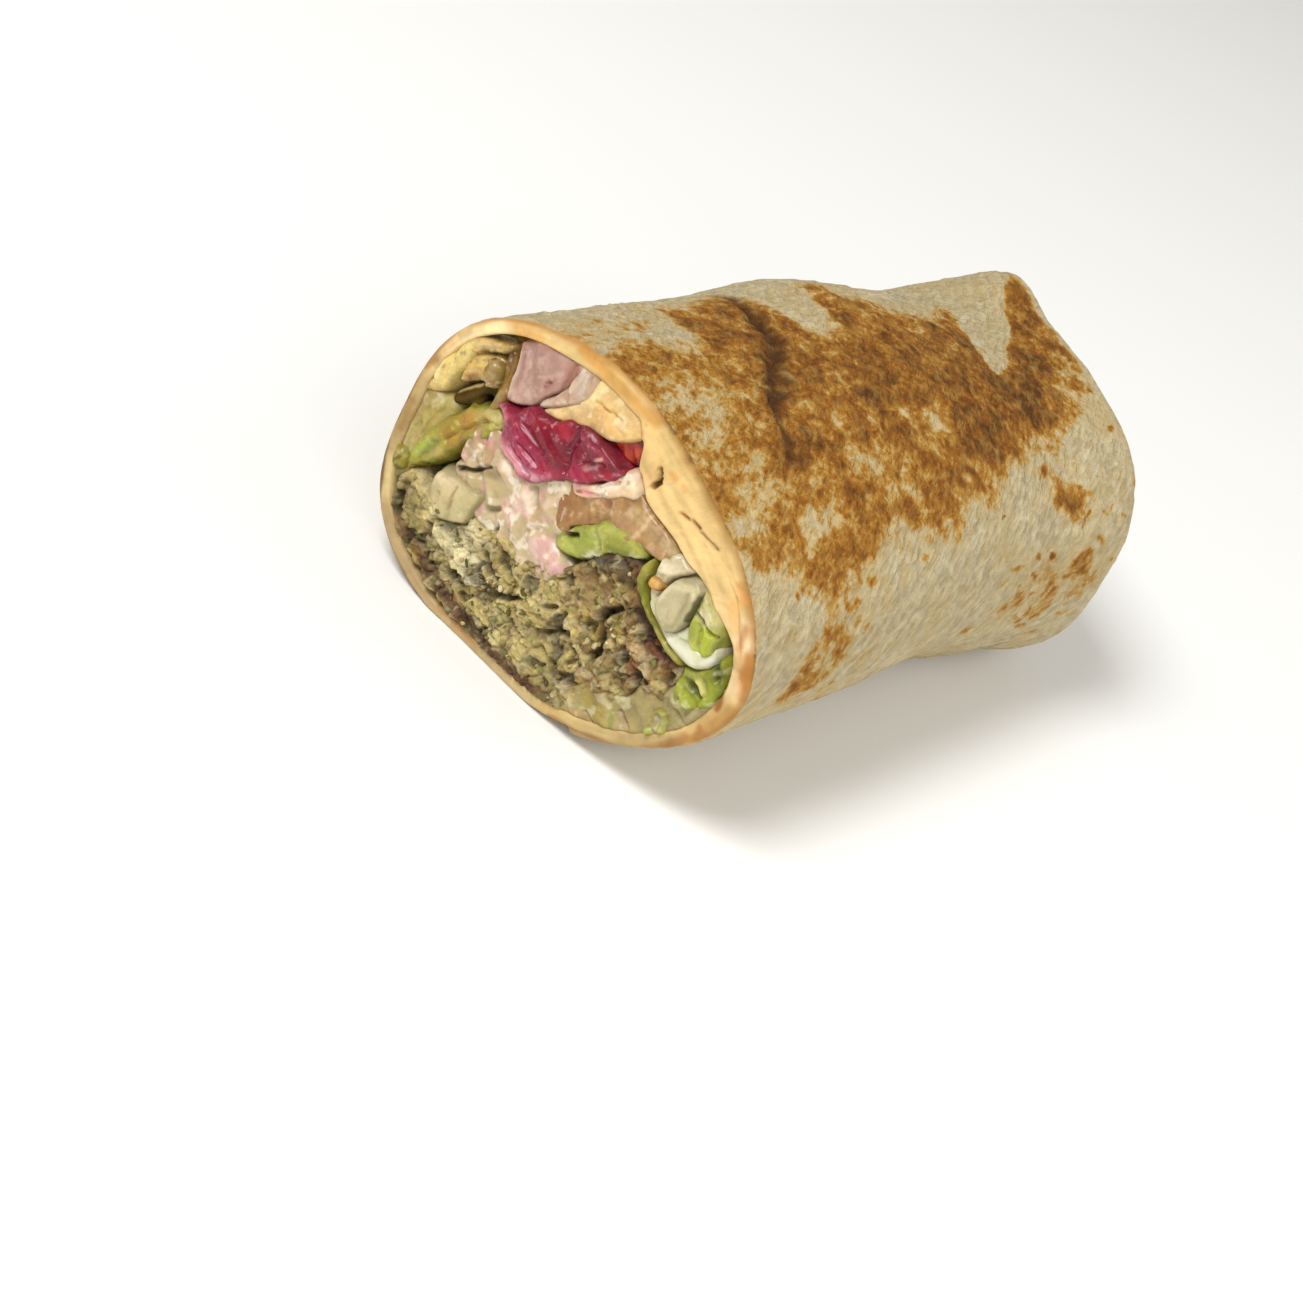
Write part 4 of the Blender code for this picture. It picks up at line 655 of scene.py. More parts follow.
fillings = {
    "falafel_left": {
        "material": "falafel", "slot": "falafel", "colour": "#b9a365", "front": 0.3, "round": 0.9, "drop": 2.0, "ragged": 0.5,
        "outline": [(31.8, -11.5), (31.5, -15), (30.2, -18), (27, -20.6), (20, -22.8), (10, -24.6), (0, -25.6), (-8, -25.4), (-13.5, -24), (-17.2, -19), (-17, -14.5), (-13.5, -9.5), (-8, -6.5), (-3, -4.5), (3, -6.5), (10, -6.5), (16, -8), (20, -10), (25, -9.5), (29, -8.5)],
        "crumb": (3.7, 1.05), "levels": 0.55,
        "strokes": [
            (29, -17, 20, -20.4, 1.3, "#754f28", 0.9), (20, -20.4, 8, -22.2, 1.5, "#663f1f", 0.95), (8, -22.4, -8, -23.4, 1.5, "#57341a", 0.95), (-8, -23.2, -12.5, -22, 1.2, "#7a4f2a", 0.8),
            # 6d5c33, #4f4327 and #564b2a lie along the deep crevices: painted shade
            (29, -13, 29.5, -16.5, 1.8, "#6d5c33", 0.85), (12, -18.6, 15, -18, 1.2, "#4f4327", 0.8), (27.5, -14.5, 23, -17.2, 1.6, "#927f4c", 0.7), (21, -16, 16, -18.5, 1.8, "#89784a", 0.55),
            (26, -9.5, 17, -12.5, 2.4, "#cebc82", 0.7), (22, -13.5, 10, -15, 2.0, "#d8c690", 0.7), (17.5, -9.4, 12, -10.4, 2.0, "#d9cba0", 0.6), (18, -12.8, 11, -14.4, 2.4, "#d9cda3", 0.65), (6, -17, 0, -16.4, 1.8, "#a08c58", 0.7), (2, -8.5, -3, -12, 3.0, "#b9a667", 0.5), (5, -17.5, -4, -20, 2.4, "#c8b479", 0.6),
            (-2, -15, -8, -18, 2.4, "#b4a164", 0.5), (10.5, -18, 12.5, -18.8, 1.2, "#564b2a", 0.8), (-9, -20, -14, -21.5, 2.0, "#9c8c54", 0.6), (0, -9, 10, -10.5, 1.6, "#998652", 0.5),
            (14, -19, 2, -20.5, 1.5, "#b8a56b", 0.5),
        ],
        "relief": [
            (10.2, -11.0, 8.6, -12.6, 0.55, -1.8), (8.6, -12.6, 6.2, -13.2, 0.5, -1.4), (5.6, -15.6, 3.0, -14.4, 0.55, -1.7), (3.0, -14.4, 1.0, -12.6, 0.5, -1.5), (-6, -14, -7.8, -12.2, 0.45, -1.4), (-7.8, -12.2, -10, -11.4, 0.45, -1.3),
            (30, -14, 29, -16.8, 0.8, -1.6), (13.6, -17.8, 14.6, -18.4, 0.7, -1.6), (21.6, -12.6, 18.6, -11.2, 0.32, -0.9), (18.6, -11.2, 16, -9.2, 0.35, -1.1), (-4, -10.5, -5.4, -9.2, 0.4, -1.2), (5.4, -10.4, 4.6, -11.0, 0.5, -1.1),
            (-14, -16, -15.6, -14, 0.4, -1.2), (-13, -13.2, -12.2, -15.2, 0.5, -1.2), (23, -18.4, 17.5, -19.6, 0.4, -0.8), (0.4, -16.8, -0.6, -18.8, 0.4, -0.8), (-7, -16.2, -9.6, -17.6, 0.35, -1.0),
            (24, -10.5, 20, -12.6, 1.6, 0.6), (16, -14.5, 10, -16, 2.0, 0.7), (1, -20, -5, -19, 2.2, 0.6), (-1, -10, -5, -12.5, 1.8, 0.5),
        ],
    },
    "falafel_right": {
        "material": "falafel", "slot": "falafel", "colour": "#97773e", "front": 0.5, "round": 0.8, "drop": 2.0, "ragged": 0.45,
        "outline": [(-2.4, -4.5), (-6.2, 0.2), (-7.4, 3.2), (-10, 5.2), (-13.8, 6.8), (-15.6, 5.6), (-17, 3.2), (-20, 0.8), (-25, -0.7), (-30, -1.2), (-30, -5), (-29, -8.6), (-25.6, -10), (-24.6, -12.5), (-21, -15), (-17, -16.5), (-14, -16), (-12, -11), (-8, -9), (-4, -7)],
        "crumb": (3.3, 1.05), "levels": 0.6,
        "strokes": [
            (-6.4, 0.4, -9.5, 4, 1.4, "#52391d", 0.9), (-9.5, 4.4, -14, 6.2, 1.1, "#432e16", 0.95), (-15, 4.6, -20, 0.6, 1.4, "#623114", 0.95), (-20, 0, -28, -1.6, 1.3, "#55290f", 0.95),
            (-22.5, -1.5, -27, -4, 1.5, "#632f14", 0.92), (-20.5, -5.2, -23.8, -9, 1.4, "#87572e", 0.8), (-20, -2.6, -22.6, -4.6, 1.3, "#c19e6e", 0.85), (-16.5, -0.5, -19.5, -2.5, 1.2, "#956f41", 0.7),
            (-9, 1.5, -14, 3.2, 1.6, "#a88e59", 0.6), (-7, -2, -12, -4, 2.2, "#9a814c", 0.6), (-4.5, -3.5, -8, -6.5, 1.6, "#967d4b", 0.7), (-11, -6.5, -14, -8.6, 1.6, "#ac9254", 0.7),
            # 443c20, #563d20 and #5e4428 lie along the deep crevices: painted shade
            (-17, -6, -19, -10, 1.8, "#b59c60", 0.6), (-18.5, -12, -22.5, -12.6, 1.6, "#b79f61", 0.6), (-24.2, -8.4, -25.4, -12, 0.9, "#443c20", 0.85), (-26.5, -5, -28.6, -7.5, 1.3, "#9a864c", 0.7),
            (-13.4, -3, -15, -7, 1.0, "#563d20", 0.7), (-15.5, -8, -15, -11, 1.0, "#5e4428", 0.7),
        ],
        "relief": [
            (-15.4, -1.6, -13.4, -4.4, 0.6, -1.8), (-13.4, -4.4, -15.4, -7.6, 0.55, -1.9), (-15.4, -7.6, -16.2, -9.6, 0.5, -1.6), (-16.2, -9.6, -14.2, -13, 0.45, -1.5), (-14.2, -13, -12.6, -14.6, 0.5, -1.6),
            (-23.4, -8, -25.2, -10.4, 0.7, -1.9), (-25.2, -10.4, -24.2, -13.6, 0.6, -1.6), (-8, 0.6, -9.6, -1.4, 0.4, -0.9), (-10.5, -9.2, -8.8, -8.2, 0.4, -1.0), (-19.8, -5.2, -20.6, -8.6, 0.35, -0.9),
            (-9.5, 2.4, -13, 4, 1.5, 0.7), (-20, -2.6, -22.6, -4.6, 1.5, 0.6), (-17.5, -9.5, -18.5, -12, 1.5, 0.5), (-8, -3, -11.5, -5.4, 1.6, 0.5),
        ],
    },
    "hummus_right": {
        "material": "hummus", "slot": "hummus", "colour": "#9e8c59", "front": 0.1, "round": 1.2, "drop": 1.1, "ragged": 0.4,
        "outline": [(-25, -8.5), (-29, -8), (-32, -9), (-35, -10), (-33.5, -14.5), (-28, -19), (-24, -21.5), (-19, -23.5), (-12.5, -24.6), (-11, -21.5), (-13.5, -18), (-16.5, -15), (-20.5, -13.2), (-23.6, -12)],
        "ripple": [(2.6, 1.4, 30, 0.35), (0.9, 0.8, 0, 0.12)],
        "strokes": [
            (-18, -16, -23.5, -19.5, 1.9, "#a08a3b", 0.75), (-24.5, -17, -30, -17.2, 2.2, "#b49b67", 0.8), (-14, -20.5, -20, -22, 2.0, "#bc9e68", 0.85), (-12, -19, -14.4, -16.5, 1.0, "#635531", 0.7),
            (-23.2, -15.6, -24.4, -18.6, 0.5, "#7b8c35", 0.6), (-26, -11, -27.6, -13.6, 1.2, "#968859", 0.6), (-20, -22, -28, -18.5, 1.2, "#c2a36f", 0.7),
        ],
        "relief": [(-15.5, -15.6, -13.6, -19, 0.4, -0.8), (-24, -15, -27, -16, 0.3, -0.5), (-19, -19.5, -22, -20.8, 0.3, -0.4)],
    },
    "hummus_side": {
        "material": "hummus", "slot": "hummus", "colour": "#a29364", "front": 0.0, "round": 1.0, "drop": 1.1, "ragged": 0.3,
        "outline": [(-28.6, -3), (-31, -5.5), (-34, -4.5), (-36.5, -2), (-38.4, 1), (-38.6, -4), (-37, -9.5), (-34, -13.5), (-31.5, -13), (-29, -9)],
        "ripple": [(2.2, 1.2, 80, 0.3), (0.8, 0.8, 0, 0.1)],
        "strokes": [(-37, 1, -37.6, -6, 1.2, "#afa469", 0.7), (-33, -9, -35.5, -8, 1.2, "#988d5a", 0.6), (-30, -7.5, -32.5, -8, 0.8, "#7b7040", 0.7)],
        "relief": [(-32, -8, -35, -9, 0.4, -0.5)],
    },
    "hummus_left": {
        "material": "hummus", "slot": "hummus", "colour": "#ad9955", "front": -0.2, "round": 1.2, "drop": 1.8, "ragged": 0.4,
        "outline": [(37, 5), (35, 4.4), (32.5, 4.6), (30, 5), (28, 3.5), (27.6, 0), (29, -4), (30, -8), (31, -11.5), (33.5, -13), (35, -9), (36.5, -4), (37.6, 1)],
        "ripple": [(3.2, 1.3, 70, 0.2), (0.9, 0.7, 0, 0.14)],
        "strokes": [(34, 3.5, 35.5, -3, 1.6, "#a78f53", 0.7), (33.5, -4, 34.8, -7, 1.2, "#b5a562", 0.6), (31.5, 3, 30.6, -1, 1.1, "#a58c48", 0.6), (32.4, -11, 31.6, -13, 1.2, "#88804b", 0.7)],
        "relief": [(32.4, 3, 33.6, -5, 0.4, -0.3), (30.2, 2.6, 31.8, -3.6, 0.35, -0.3)],
    },
    "garlic_sauce": {
        "material": "sauce", "slot": "pink_sauce", "colour": "#bda880", "front": 0.1, "round": 0.9, "drop": 0.9, "ragged": 0.5,
        "outline": [(20, 1.5), (17.5, 4.8), (13, 5.4), (10, 5), (8, 6), (6, 7.4), (3, 9.2), (1.5, 6), (0, 2.5), (-1.2, 0.5), (0.5, -0.9), (-2.4, -1.9), (-4.6, -2.6), (-4, -5), (-1.5, -7.6), (3, -9), (7, -8.8), (10.5, -8), (14, -8.2), (17, -7), (21, -5.2), (23.4, -3)],
        "ripple": [(3.4, 1.5, 50, 0.42), (1.2, 0.7, 35, 0.14)],
        "strokes": [
            (1.5, -2.6, -1.6, -4.6, 1.5, "#d5ac9a", 0.9), (0.4, -2, 2.4, -3, 1.1, "#d4a79a", 0.85), (3.4, -4.4, 1, -6.4, 1.4, "#d5bc9e", 0.8), (9.8, -1.6, 11, -2.6, 0.9, "#c69d87", 0.8), (7, -6.4, 8.4, -7.6, 0.7, "#bf8c71", 0.7),
            (8.5, 1.5, 9.6, -0.6, 1.3, "#dac6a8", 0.85), (14, 2.4, 11.4, 3.6, 1.0, "#d2ab8f", 0.7), (4, 4, 2, 1.5, 1.2, "#caab83", 0.7), (20, -3.8, 14, -1, 1.6, "#b8a373", 0.8), (14, -5.6, 10.6, -6, 1.2, "#c1b38e", 0.8),
            # 55462d, #604e31 and #554e2f lie in the deep grooves: painted shade
            (18, -0.6, 15.2, 0.6, 0.8, "#816c44", 0.7), (22.5, -3.4, 19.5, -1.6, 0.5, "#55462d", 0.8), (19.5, -1.4, 17.2, 0.8, 0.45, "#604e31", 0.8), (11, -6, 10.6, -7.4, 0.5, "#554e2f", 0.7), (5.5, 2, 6.5, -1.5, 0.9, "#b89168", 0.6),
            (14, 0.8, 10, -0.5, 0.8, "#c6b18a", 0.7), (6, 6.2, 4.2, 4.6, 0.8, "#92794e", 0.5),
            (7, -0.4, 8.8, 2.6, 0.8, "#e7d3b9", 0.85), (3, -3.6, 0.6, -5.6, 0.9, "#e5bbb7", 0.9), (0.4, -1.6, -2.2, -3.6, 0.7, "#e6c7b9", 0.8), (11.6, -1.8, 9.4, -3.4, 0.8, "#e0b7a8", 0.8),
            (5, 2.2, 3, 6.2, 0.7, "#dec3a3", 0.75), (15, 3.2, 12.4, 1.6, 0.6, "#e6cdb2", 0.8), (2.2, -7.2, 5, -8, 0.8, "#dcc0a5", 0.8), (13, -3.4, 15.6, -2.4, 0.8, "#d0bd95", 0.7), (-2.4, -4.2, -3.6, -3.2, 0.6, "#d99faa", 0.8),
        ],
        "relief": [
            (22.5, -3.4, 19.5, -1.6, 0.4, -1.3), (19.5, -1.4, 17.0, 1.0, 0.35, -1.1), (12, -3.6, 14.2, -5.4, 0.45, -0.8), (10.8, -6, 10.4, -8, 0.4, -1.2), (8.2, 3.4, 6.4, 0.6, 0.5, -0.6), (3.6, -1.2, 5.6, -3, 0.5, -0.5),
            (1.5, -2.6, -1.6, -4.6, 1.5, 0.5), (9.2, 1.2, 9.8, -0.6, 1.1, 0.5), (12.6, -6, 14, -6.8, 0.7, 0.5), (16.5, 2, 13, 3, 1.0, 0.4), (10.2, -3.6, 7, -5, 1.2, 0.35),
        ],
    },
    "sauce_stain": {
        "material": "sauce", "slot": "pink_sauce", "colour": "#af8c68", "front": 0.2, "round": 0.9, "drop": 0.9, "ragged": 0.4,
        "outline": [(22.8, 4.6), (20.4, 6.8), (17.6, 6.6), (15.6, 4.4), (16.4, 2), (18.6, -0.4), (21.4, -2), (23.4, -1.4), (23.8, 1.6)],
        "ripple": [(2.4, 1.3, 60, 0.4), (0.8, 0.7, 0, 0.12)],
        "strokes": [(21.6, -0.4, 20, 1.6, 1.1, "#c2aa7e", 0.8), (18.2, 5.6, 16.6, 3.6, 1.0, "#c0a080", 0.8), (22.6, 2.8, 22.2, -0.6, 0.7, "#a17a4d", 0.6), (19.5, 3.6, 21, 4.4, 0.8, "#af8469", 0.7)],
        "relief": [(20.6, 5.6, 18.8, 0.8, 0.35, -0.5)],
    },
    "sauce_smear": {
        "material": "sauce", "slot": "pink_sauce", "colour": "#dab593", "front": 0.5, "round": 0.8, "drop": 1.3, "ragged": 0.35,
        "outline": [(2.8, 9.2), (1.6, 7.4), (-1, 8.2), (-3.6, 10.2), (-6.4, 12.4), (-8.8, 13.8), (-8.2, 15.8), (-5.4, 16.9), (-4.0, 15.4), (-2.4, 12.8), (-0.6, 11), (1.6, 10.2)],
        "ripple": [(3.0, 1.0, 135, 0.35), (0.8, 0.6, 0, 0.1)],
        "strokes": [(1.4, 8.6, -1.6, 9.8, 0.7, "#d99394", 0.8), (-2, 11, -4.6, 13.4, 0.8, "#eddbbc", 0.85), (-5, 15.2, -7.6, 15.2, 1.0, "#efe1ba", 0.8), (-3.4, 12.4, -4.4, 14.4, 0.4, "#d68e8c", 0.6), (-6, 13, -8, 14.2, 0.8, "#eacb9e", 0.7)],
        "relief": [(-1.5, 10.8, -4.6, 14, 0.3, -0.4), (0.8, 8.4, -3.6, 11, 0.3, -0.35)],
    },
    "lettuce_left": {
        "material": "lettuce", "slot": "lettuce_tan", "colour": "#9f9636", "front": 0.2, "round": 0.5, "drop": 0.6, "ragged": 0.6, "mottle": [("#c9c26c", 1.2, 0.26, 0.5), ("#8a7a2c", 1.4, 0.30, 0.5)],
        "spine": [(18.6, 8.0, 1.6), (21.6, 6.6, 2.2), (24.6, 3.2, 2.4), (27.2, -0.4, 2.5), (29.4, -4.0, 2.2), (30.8, -7.4, 1.6), (31.2, -9.0, 1.0)],
        "ripple": [(5.0, 0.9, 118, 0.24), (1.4, 0.7, 118, 0.12)],
        "strokes": [
            (19, 8.2, 21.6, 7.4, 1.4, "#c8b574", 0.85), (22.6, 6.2, 24.6, 4.4, 1.6, "#b39a52", 0.85), (24.4, 4, 26.6, 0.6, 2.2, "#ac7f2e", 0.9), (26, 2.4, 28, 0.4, 1.2, "#96802e", 0.7), (29, -3, 31.2, -6.6, 0.9, "#a3ae48", 0.9), (27.4, -5.6, 28.6, -8, 0.8, "#adb558", 0.85), (26.4, -3.4, 28, -4.2, 0.9, "#b89a5c", 0.7),
            (28.2, -2, 29.4, -5, 0.8, "#7f7f3e", 0.7), (21.4, 5, 24, 1.6, 0.8, "#918a42", 0.6),
        ],
        "relief": [(22, 6.4, 27, -1, 0.35, -0.6), (28.2, -2.4, 29.8, -7, 0.3, -0.35), (19.4, 7.4, 22, 6, 0.3, -0.4)],
    },
    "lettuce_knot": {
        "material": "lettuce", "slot": "lettuce", "colour": "#908028", "front": 0.9, "round": 1.4, "drop": 1.5, "ragged": 0.2,
        "outline": [(33.2, -6.9), (31.8, -7.6), (31.2, -9.2), (31.8, -10.8), (33.2, -11.4), (34.6, -10.8), (35.4, -9.2), (34.8, -7.6)],
        "ripple": [(1.6, 0.7, 40, 0.3)],
        "strokes": [(33.6, -8, 34.4, -8.6, 0.9, "#a79641", 0.8), (32.4, -10.6, 34, -11, 0.7, "#625e1b", 0.8)],
        "relief": [(32.6, -8.4, 33.8, -10.2, 0.3, -0.4)],
    },
    "cucumber_block": {
        "material": "cucumber", "slot": "cucumber_pale", "colour": "#bfaf7e", "front": 0.9, "round": 0.6, "drop": 1.3, "ragged": 0.12,
        "outline": [(25.4, -6.4), (24.4, -5.2), (22, -4.5), (19, -3.9), (16.4, -3.7), (15.5, -4.6), (15.8, -7), (16, -9.4), (17.6, -10.6), (20, -11.9), (22.6, -12), (24.6, -11.2), (25.3, -9)],
        "ripple": [(3.4, 2.0, 60, 0.25), (0.9, 0.6, 60, 0.06)],
        "strokes": [(24.4, -6.4, 21.6, -5.4, 1.3, "#ddc69e", 0.9), (20.6, -5.4, 18, -5, 1.1, "#d0bc8f", 0.7), (17.6, -5.6, 17.4, -9, 1.6, "#b9ac79", 0.6), (21.4, -7.4, 23, -10.4, 1.4, "#ceb787", 0.6), (25, -9, 24, -11.4, 0.7, "#9b8b5a", 0.6)],
        "relief": [(20.4, -5.6, 19.6, -11.4, 0.35, -0.5), (24, -6.4, 21.4, -8, 0.8, 0.3), (23, -8.4, 22.6, -10.4, 0.3, -0.3)],
    },
    "pepper_fold": {
        "material": "pickle", "slot": "pepper", "colour": "#e0c477", "front": 0.4, "round": 1.3, "drop": 1.9, "ragged": 0.2,
        "outline": [(37.6, 5), (36.9, 9), (35.4, 12.4), (33, 15.2), (30.4, 16.6), (29.2, 14.4), (29.6, 11), (30.4, 7.8), (31.6, 4.8), (33.6, 3.4), (36, 3.4)],
        "ripple": [(4.0, 1.6, 62, 0.24), (1.2, 0.7, 62, 0.1)],
        # the pale stroke #e8d99b on the raised ridge is a painted highlight
        "strokes": [(34.4, 9, 34, 6.6, 0.9, "#e8d99b", 0.85), (35.6, 9.6, 33.6, 13, 0.9, "#cca652", 0.7), (31.4, 12.6, 31, 8, 0.9, "#c5ab5f", 0.7), (36.4, 7, 34.6, 4, 1.1, "#a87f3e", 0.75), (32.4, 15.4, 30.6, 13.4, 0.9, "#d5c179", 0.7)],
        "relief": [(33, 13.8, 32.4, 5, 0.5, -0.3), (35.4, 11, 34.8, 5.6, 0.4, -0.25), (34.2, 9.6, 33.8, 6.6, 0.8, 0.4)],
    },
    "pickle_rind": {
        "material": "pickle", "slot": "pickle", "colour": "#d1ab60", "front": 0.1, "round": 0.6, "drop": 1.5, "ragged": 0.15,
        "outline": [(32.4, 15.4), (31, 13.4), (29.4, 13.6), (27, 15.4), (24.6, 16.8), (23.4, 18.2), (24.2, 19.6), (26.4, 19.2), (29, 17.6), (31.2, 16.4)],
        "ripple": [(4.0, 1.4, 148, 0.16)],
        # the near-black strokes #4b3719 and #3f3018 lie in the gaps along its edge: painted shade
        "strokes": [(30.6, 15, 26, 17.4, 0.7, "#ceb078", 0.8), (25.2, 18.6, 23.8, 19, 0.8, "#a08245", 0.8), (28.6, 15, 26.4, 16.2, 0.4, "#83622a", 0.7), (24.6, 17.4, 23.6, 18, 0.5, "#836a30", 0.6), (31.4, 16.4, 24.4, 19.4, 0.5, "#4b3719", 0.85), (28, 15, 25, 16.6, 0.35, "#3f3018", 0.8)],
        "relief": [(30, 14.6, 25.4, 17.2, 0.3, -0.2), (31, 16.8, 24.4, 19.6, 0.6, -1.2)],
    },
    "pickle_fold": {
        "material": "pickle", "slot": "pickle", "colour": "#cba65a", "front": -0.3, "round": 0.9, "drop": 1.5, "ragged": 0.2,
        "outline": [(30.2, 13.6), (28, 15), (25.4, 16.2), (23.6, 15.6), (24, 13), (25.4, 11.4), (27.4, 9.8), (30, 7.8), (30.6, 10)],
        "ripple": [(4.5, 1.6, 142, 0.22), (1.6, 0.9, 142, 0.1)],
        "strokes": [(28.8, 13, 25.6, 14.4, 0.5, "#d1b16f", 0.8), (29.4, 11, 26.8, 12.4, 0.5, "#cda868", 0.7), (26, 12.8, 24.6, 13.6, 0.5, "#977234", 0.7), (29.6, 9.6, 27.6, 11, 0.4, "#936f34", 0.7)],
        "relief": [(29.4, 12.4, 25.2, 14.6, 0.5, -0.25), (29.8, 10.4, 26.6, 12.6, 0.5, -0.25)],
    },
    "pickle_dice": {
        "material": "pickle", "slot": "pickle", "colour": "#8d6c28", "front": 0.6, "round": 0.7, "drop": 1.8, "ragged": 0.12,
        "outline": [(26.4, 15.2), (24.6, 15.8), (23, 15.2), (22.5, 13.4), (22.8, 11.6), (24.2, 10.9), (25.8, 11.4), (26.5, 13)],
        "ripple": [(1.8, 1.0, 20, 0.3), (0.6, 0.5, 0, 0.1)],
        "strokes": [(24.9, 14.8, 24.6, 13.4, 0.9, "#ad9461", 0.85), (25.6, 12, 23.8, 11.6, 0.6, "#b9a279", 0.85), (25.9, 13.8, 25.2, 14.6, 0.5, "#846b28", 0.6), (23.2, 14.4, 23, 12.4, 0.5, "#796225", 0.7)],
        "relief": [(25.6, 11.9, 25.4, 12.1, 0.5, 0.5), (24.0, 11.6, 23.9, 11.7, 0.45, 0.5), (24.6, 14.2, 24.4, 14.4, 0.6, 0.3)],
    },
    "pickle_leaf": {
        "material": "pickleSkin", "slot": "pickle_dark", "mottle": [("#74602a", 1.3, 0.26, 0.5), ("#2a1e08", 1.1, 0.3, 0.55)], "colour": "#4e3a05", "front": -1.2, "round": 0.6, "drop": 1.8, "ragged": 0.15,
        "outline": [(30.6, 4.6), (30, 6.6), (28, 9), (25.8, 11.2), (23.4, 12), (22.6, 10.6), (23.4, 8), (25, 6.4), (27.4, 4.8), (29.4, 3.8)],
        "ripple": [(4.0, 0.8, 132, 0.35)],
        # the near-black strokes #1b1006 and #221407 lie in the pits: painted shade
        "strokes": [(29.8, 6.4, 26.4, 9.8, 0.35, "#c4ab78", 0.85), (28.6, 5.4, 24.4, 10.2, 0.7, "#574218", 0.7), (25.4, 8.4, 24, 11, 0.6, "#36270a", 0.8), (24.2, 8.4, 24, 7.4, 0.8, "#1b1006", 0.95), (26.2, 11.1, 25.4, 11.6, 0.5, "#221407", 0.9)],
        "relief": [(24.2, 8.6, 24, 7.2, 0.6, -1.5), (26.4, 11.2, 25.2, 11.7, 0.45, -1.1), (29.4, 6.2, 26.2, 9.4, 0.4, 0.3)],
    },
    "pickle_shaving": {
        "material": "pickle", "slot": "pickle", "colour": "#8e651f", "front": -0.2, "round": 0.6, "drop": 1.4, "ragged": 0.15,
        "spine": [(23.6, 18.6, 0.9), (22.8, 16.4, 1.3), (22.0, 13.4, 1.35), (21.6, 10.8, 1.3), (22.0, 8.2, 1.0), (22.4, 6.6, 0.6)],
        "ripple": [(4.0, 0.7, 98, 0.3)],
        "strokes": [(22.8, 17.4, 22.4, 14.6, 0.7, "#886423", 0.7), (22.2, 13.6, 21.8, 11, 0.6, "#9e7d3e", 0.7), (21.8, 10.4, 22.2, 7.4, 0.8, "#928147", 0.7), (23.4, 18, 23, 16.8, 0.6, "#552f19", 0.8)],
        "relief": [(22.6, 16, 21.9, 10, 0.25, -0.3)],
    },
    "onion_slice": {
        "material": "onion", "slot": "onion", "colour": "#ab8271", "front": -0.4, "round": 0.6, "drop": 1.1, "ragged": 0.12,
        "outline": [(23.0, 20.4), (21.4, 21.9), (19.6, 23.2), (17, 24.5), (13.5, 25), (10.4, 24.9), (10.8, 22.4), (11.6, 19.8), (12.8, 17.7), (14.2, 15.9), (15.2, 13.8), (17, 12.4), (19.4, 11.2), (21, 11.2), (21.4, 13.4), (21.9, 16.4), (22.3, 18.6)],
        "ripple": [(5.0, 2.2, 75, 0.3), (1.2, 0.5, 75, 0.05)],
        "strokes": [
            (21.9, 19, 20.6, 12.4, 0.5, "#d1b6a0", 0.85), (20, 22.4, 13, 24.2, 0.9, "#bf9a87", 0.7), (18.6, 20.6, 16.4, 21.6, 1.5, "#b2897a", 0.6), (15, 18.5, 15.4, 17.9, 0.9, "#a26e62", 0.7),
            (12.8, 23.6, 12.0, 19.4, 0.8, "#ad7763", 0.8), (11.3, 23.6, 11.8, 19.8, 0.35, "#955842", 0.8), (12.6, 17.6, 14.6, 15.2, 0.4, "#a36753", 0.7), (18.6, 16, 17, 13.6, 1.2, "#c09c89", 0.7), (19.8, 13, 18.4, 12.2, 0.8, "#c8a691", 0.7),
            (17, 18, 13.6, 21, 0.35, "#c6a390", 0.6),
            (20.6, 20, 19, 14, 0.5, "#c8a597", 0.5), (17.6, 22.6, 15.6, 16.6, 0.4, "#c4a093", 0.4), (14.4, 23.6, 13.6, 19.6, 0.4, "#c49c8e", 0.4), (22.4, 20.6, 14, 24.6, 0.5, "#a5705f", 0.5),
        ],
        "relief": [(15, 18.9, 15.6, 17.9, 0.45, 0.35), (15, 18.4, 15.2, 18.2, 0.25, -0.5), (12.2, 24, 12.4, 18.8, 0.35, -0.5), (18.4, 21.6, 16.6, 13.6, 1.5, 0.3), (21.8, 20, 20.6, 12, 0.4, 0.3)],
    },
    "onion_heart": {
        "material": "onion", "slot": "onion_heart", "colour": "#c8ab8f", "front": -0.2, "round": 0.6, "drop": 1.0, "ragged": 0.12, "mottle": [("#e2cdb4", 1.4, 0.2, 0.6), ("#b08568", 1.0, 0.32, 0.5)],
        "outline": [(11, 25), (8.5, 25.2), (5.8, 24.6), (6.6, 21.6), (8.8, 18.6), (11.6, 16), (14.6, 13.9), (14.9, 15.2), (13.0, 17.6), (11.9, 20)],
        "ripple": [(5.0, 1.1, 62, 0.35)],
        "strokes": [(10, 24, 9.6, 20.4, 0.9, "#d5c0ac", 0.8), (7.8, 23.6, 7.4, 21.4, 0.8, "#c5a17d", 0.7), (12.6, 16.8, 14.2, 14.9, 0.6, "#d1b79e", 0.8), (10.4, 19, 12.4, 17.2, 0.5, "#c09276", 0.6), (6.6, 24.4, 6.4, 22.6, 0.5, "#b68752", 0.6)],
        "relief": [(8.8, 24, 8.2, 20.6, 0.3, -0.4), (10.2, 23.6, 10.6, 20, 0.5, 0.3)],
    },
    "bread_scrap": {
        "material": "hummus", "slot": "bread_inside", "colour": "#dbb677", "front": -0.1, "round": 0.8, "drop": 0.9, "ragged": 0.12, "mottle": [("#ecd6a4", 2.0, 0.20, 0.6), ("#cf9f5e", 1.4, 0.30, 0.5)],
